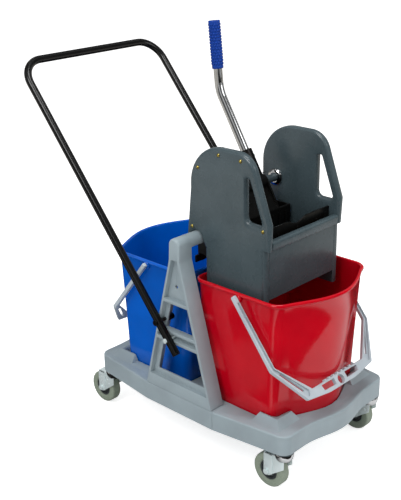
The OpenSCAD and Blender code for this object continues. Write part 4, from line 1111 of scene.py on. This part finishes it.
back_x = -TRAIL - LUG_R
leg_view = rounded([(back_x, AXLE_Z, 4), (-TRAIL - 4, AXLE_Z - LUG_R, 5), (-TRAIL + 5, AXLE_Z - LUG_R, 5),
                    (FOLD_X, AXLE_Z - 2, 1), (FOLD_X, CROWN_Z + 3, 1), (back_x, CROWN_Z + 3, 6)], steps=4)
crown_half = [(back_x, YOKE_OUT, 2), (FOLD_X, YOKE_OUT, 1), (RACE_R - 2, 8, 5)]
crown_view = rounded([(x, -y, r) for x, y, r in crown_half] + crown_half[::-1], steps=4)
for corner in corners:
    axis = middle(corner + "_mount")
    axis.z = 0
    way = middle(corner + "_axle") - axis
    place = Matrix.Translation(axis) @ Matrix.Rotation(math.atan2(-way.y, -way.x), 4, "Z")
    bm = flat(crown_view, CROWN_Z, CROWN_Z + 3)
    for side in (-1, 1):
        faces = sorted((side * YOKE_OUT, side * (YOKE_OUT - SHEET)))
        loft(bm, [[(p.x, y, p.y) for p in leg_view] for y in reversed(faces)])
        gusset(bm, side)
    weld(bm)
    break_edges(bm, 0.5, SHARP)
    bm.transform(place)
    new_piece(corner + "_fork", bm, corner + "_yoke", crease=35)
    bm = bmesh.new()
    turned(bm, race_profile(), place, sides=48)
    new_piece(corner + "_race", bm, corner + "_yoke", crease=50, finish="chrome")
print("yokes:", len(corners))

# %% [markdown]
# ## Dressed pieces
# The other pieces keep the forms that the CAD gives them. What a mould or a press leaves is a small
# round on every edge of the press, the strainer and the fittings; the tubes and the shaft need none.

# %% Dressed pieces
EDGES = {
    "strainer": 0.6, "press_plate": 0.8, "handle_studs": 0.8, "handle_plugs": 0.8,
    "handle_bolts": 0.5, "lever_bolt": 0.5, "push_handle": 0.0, "lever_tube": 0.0, "press_shaft": 0.0,
}
EDGES.update({corner + "_axle": 0.5 for corner in corners})
EDGES.update({corner + "_mount": 0.5 for corner in corners})
for name, edge in EDGES.items():
    dress(name, edge)
print("pieces:", len(made), "triangles:", sum(len(p.data.loop_triangles) for p in made))

# %% [markdown]
# ## Studio
# The trolley stands on white paper, as in a photographer's studio: the camera and the light on the pieces
# see only white paper, and glossy plastic alone sees a painted reflection in the floor of the paper's edge,
# a dark floor and the dark room beyond it. The world lights the pieces softly from all round, and soft boxes
# add the direction. The paper gets a little light of its own for the camera, so that it stays white and
# still keeps the shadow.

# %% Studio floor
FLOOR_REACH = 12.0
PAPER_START, PAPER_FULL = 0.15, 0.35
PAPER_EDGE = 0.90
PAPER_FADE = 0.06
DARK_REACH = 1.2
ROOM_REACH = 1.9
ROOM_LEVEL = 0.62
SPOT = (-0.14, -0.48)
SPOT_R = 0.14
SPOT_FADE = 0.03
SPOT_LEVEL = 0.22
STRIPS = 5
STRIP_TURN = 0.6
STRIP_ON_FLOOR = 0.8
STRIP_LEVEL, DARK_LEVEL = 0.5, 0.12


def ramp(tree, value, start, end, low, high):
    """Goes smoothly from low to high while the value goes from start to end."""
    node = add_node(tree, "ShaderNodeMapRange", {"Value": value}, interpolation_type="SMOOTHSTEP",
                    From_Min=start, From_Max=end, To_Min=low, To_Max=high)
    return node.outputs["Result"]


def strips(tree, x, y):
    """Bright strips that run out from the middle."""
    angle = calc(tree, "ARCTAN2", y, x)
    wave = calc(tree, "SINE", calc(tree, "ADD", calc(tree, "MULTIPLY", angle, STRIPS), STRIP_TURN))
    return ramp(tree, wave, 0.25, 0.75, 0.0, 1.0)


def studio_floor():
    """White paper; glossy rays alone see a painted reflection: dark in front with a faint light spot, light
    at the red end, striped far off.
    """
    mesh = bpy.data.meshes.new("floor")
    sides = ((-1, -1), (1, -1), (1, 1), (-1, 1))
    mesh.from_pydata([(FLOOR_REACH * x, FLOOR_REACH * y, 0) for x, y in sides], [], [(0, 1, 2, 3)])
    floor = add_object("floor", mesh)
    material = bpy.data.materials.new("white_paper")
    material.use_nodes = True
    tree = material.node_tree
    tree.nodes.clear()
    path = add_node(tree, "ShaderNodeLightPath")
    place = add_node(tree, "ShaderNodeTexCoord")
    axes = add_node(tree, "ShaderNodeSeparateXYZ", {"Vector": place.outputs["Object"]})
    x, y = axes.outputs["X"], axes.outputs["Y"]
    length = add_node(tree, "ShaderNodeVectorMath", {0: place.outputs["Object"]}, operation="LENGTH")
    paper_end = calc(tree, "MULTIPLY", ramp(tree, x, PAPER_START, PAPER_FULL, 0.0, 1.0),
                     ramp(tree, x, PAPER_EDGE, PAPER_EDGE + PAPER_FADE, 1.0, 0.0))
    # painted reflection: a faint round light spot on the floor in front of the near side, seen only by
    # glossy rays
    away = calc(tree, "ADD", calc(tree, "POWER", calc(tree, "SUBTRACT", x, SPOT[0]), 2.0),
                calc(tree, "POWER", calc(tree, "SUBTRACT", y, SPOT[1]), 2.0))
    spot = ramp(tree, calc(tree, "SQRT", away), SPOT_R - SPOT_FADE, SPOT_R + SPOT_FADE, SPOT_LEVEL, 0.0)
    near_light = calc(tree, "MAXIMUM", paper_end, spot)
    far_off = ramp(tree, length.outputs["Value"], DARK_REACH, ROOM_REACH, 0.0, 1.0)
    room = calc(tree, "MULTIPLY", far_off, strips(tree, x, y))
    light = calc(tree, "MAXIMUM", near_light, calc(tree, "MULTIPLY", room, STRIP_ON_FLOOR))
    # every ray but a glossy one sees plain paper, so the pattern above is a painted reflection
    plain = calc(tree, "SUBTRACT", 1.0, path.outputs["Is Glossy Ray"])
    share = calc(tree, "MAXIMUM", light, plain)
    paper = add_node(tree, "ShaderNodeBsdfDiffuse", Color=(0.8, 0.8, 0.8, 1.0))
    # painted reflection: dark floor near the set and pale floor far off, seen only by glossy rays
    reflected_dark_floor = add_node(tree, "ShaderNodeBsdfDiffuse", Color=(0.02, 0.02, 0.02, 1.0))
    reflected_pale_floor = add_node(tree, "ShaderNodeBsdfDiffuse", Color=linear("#EDE6DA"))
    floor_in_reflection = add_node(tree, "ShaderNodeMixShader", {0: far_off, 1: reflected_dark_floor.outputs[0], 2: reflected_pale_floor.outputs[0]})
    ground = add_node(tree, "ShaderNodeMixShader", {0: share, 1: floor_in_reflection.outputs[0], 2: paper.outputs[0]})
    glow = add_node(tree, "ShaderNodeEmission", {"Strength": path.outputs["Is Camera Ray"]},
                    Color=(0.72, 0.72, 0.72, 1.0))
    both = add_node(tree, "ShaderNodeAddShader")
    tree.links.new(ground.outputs[0], both.inputs[0])
    tree.links.new(glow.outputs[0], both.inputs[1])
    out = add_node(tree, "ShaderNodeOutputMaterial")
    tree.links.new(both.outputs[0], out.inputs["Surface"])
    mesh.materials.append(material)


# %% [markdown]
# The bow of the red bucket is a curved mirror, and the photograph shows a large light patch in it with a
# slanting upper edge. Photographers make such an edge with a flag, a black board that stands beside the
# set. Only glossy surfaces see this one: the camera, the shadows and the soft light pass through it.

# %% Black flag
FLAG_X = 0.39
FLAG_EDGE = [(-0.70, 0.0), (-0.095, 0.0), (-0.089, 0.16), (-0.072, 0.20), (-0.043, 0.235), (0.0, 0.268),
             (0.06, 0.300), (0.25, 0.42), (0.25, 0.80), (-0.70, 0.80)]


def black_flag():
    """A board across the end of the set, cut away over the light patch."""
    mesh = bpy.data.meshes.new("black_flag")
    mesh.from_pydata([(FLAG_X, y, z) for y, z in FLAG_EDGE], [], [tuple(range(len(FLAG_EDGE)))])
    flag = add_object("black_flag", mesh)
    mesh.materials.append(new_material("black_cloth", "#101010", 0.9)[0])
    flag.visible_camera = False
    flag.visible_diffuse = False
    flag.visible_shadow = False


# %% [markdown]
# The room round the paper is dark with bright strips where a glossy surface sees it, and gives soft light
# to everything else. Three soft boxes stand in front, at the red end and overhead.

# %% Studio room and lamps
def studio_world():
    """White for the camera, soft light all round, and a dark room with bright strips in glossy surfaces."""
    world = bpy.data.worlds.new("studio")
    world.use_nodes = True
    bpy.context.scene.world = world
    tree = world.node_tree
    path = add_node(tree, "ShaderNodeLightPath")
    place = add_node(tree, "ShaderNodeTexCoord")
    axes = add_node(tree, "ShaderNodeSeparateXYZ", {"Vector": place.outputs["Generated"]})
    band = strips(tree, axes.outputs["X"], axes.outputs["Y"])
    gloss = calc(tree, "ADD", calc(tree, "MULTIPLY", band, STRIP_LEVEL), DARK_LEVEL)
    room = add_node(tree, "ShaderNodeMapRange", {"Value": path.outputs["Is Glossy Ray"], "To Max": gloss},
                    To_Min=ROOM_LEVEL)
    strength = add_node(tree, "ShaderNodeMapRange", {"Value": path.outputs["Is Camera Ray"],
                                                     "To Min": room.outputs["Result"]}, To_Max=1.0)
    background = tree.nodes["Background"]
    background.inputs["Color"].default_value = (1.0, 1.0, 1.0, 1.0)
    tree.links.new(strength.outputs["Result"], background.inputs["Strength"])


def soft_box(name, place, aim, size, watts):
    """A square area lamp that looks at the aim."""
    data = bpy.data.lights.new(name, "AREA")
    data.shape = "RECTANGLE"
    data.size = data.size_y = size
    data.energy = watts
    lamp = add_object(name, data)
    lamp.location = place
    lamp.rotation_euler = (Vector(aim) - Vector(place)).to_track_quat("-Z", "Y").to_euler()


studio_floor()
black_flag()
studio_world()
soft_box("key", (0.25, -2.3, 2.9), (0.1, 0.0, 0.4), 1.4, 50)
soft_box("fill", (2.6, 0.6, 1.8), (0.0, 0.0, 0.4), 1.6, 20)
soft_box("top", (0.35, 0.0, 2.8), (0.2, 0.0, 0.3), 0.9, 20)
print("lamps:", len(bpy.data.lights))
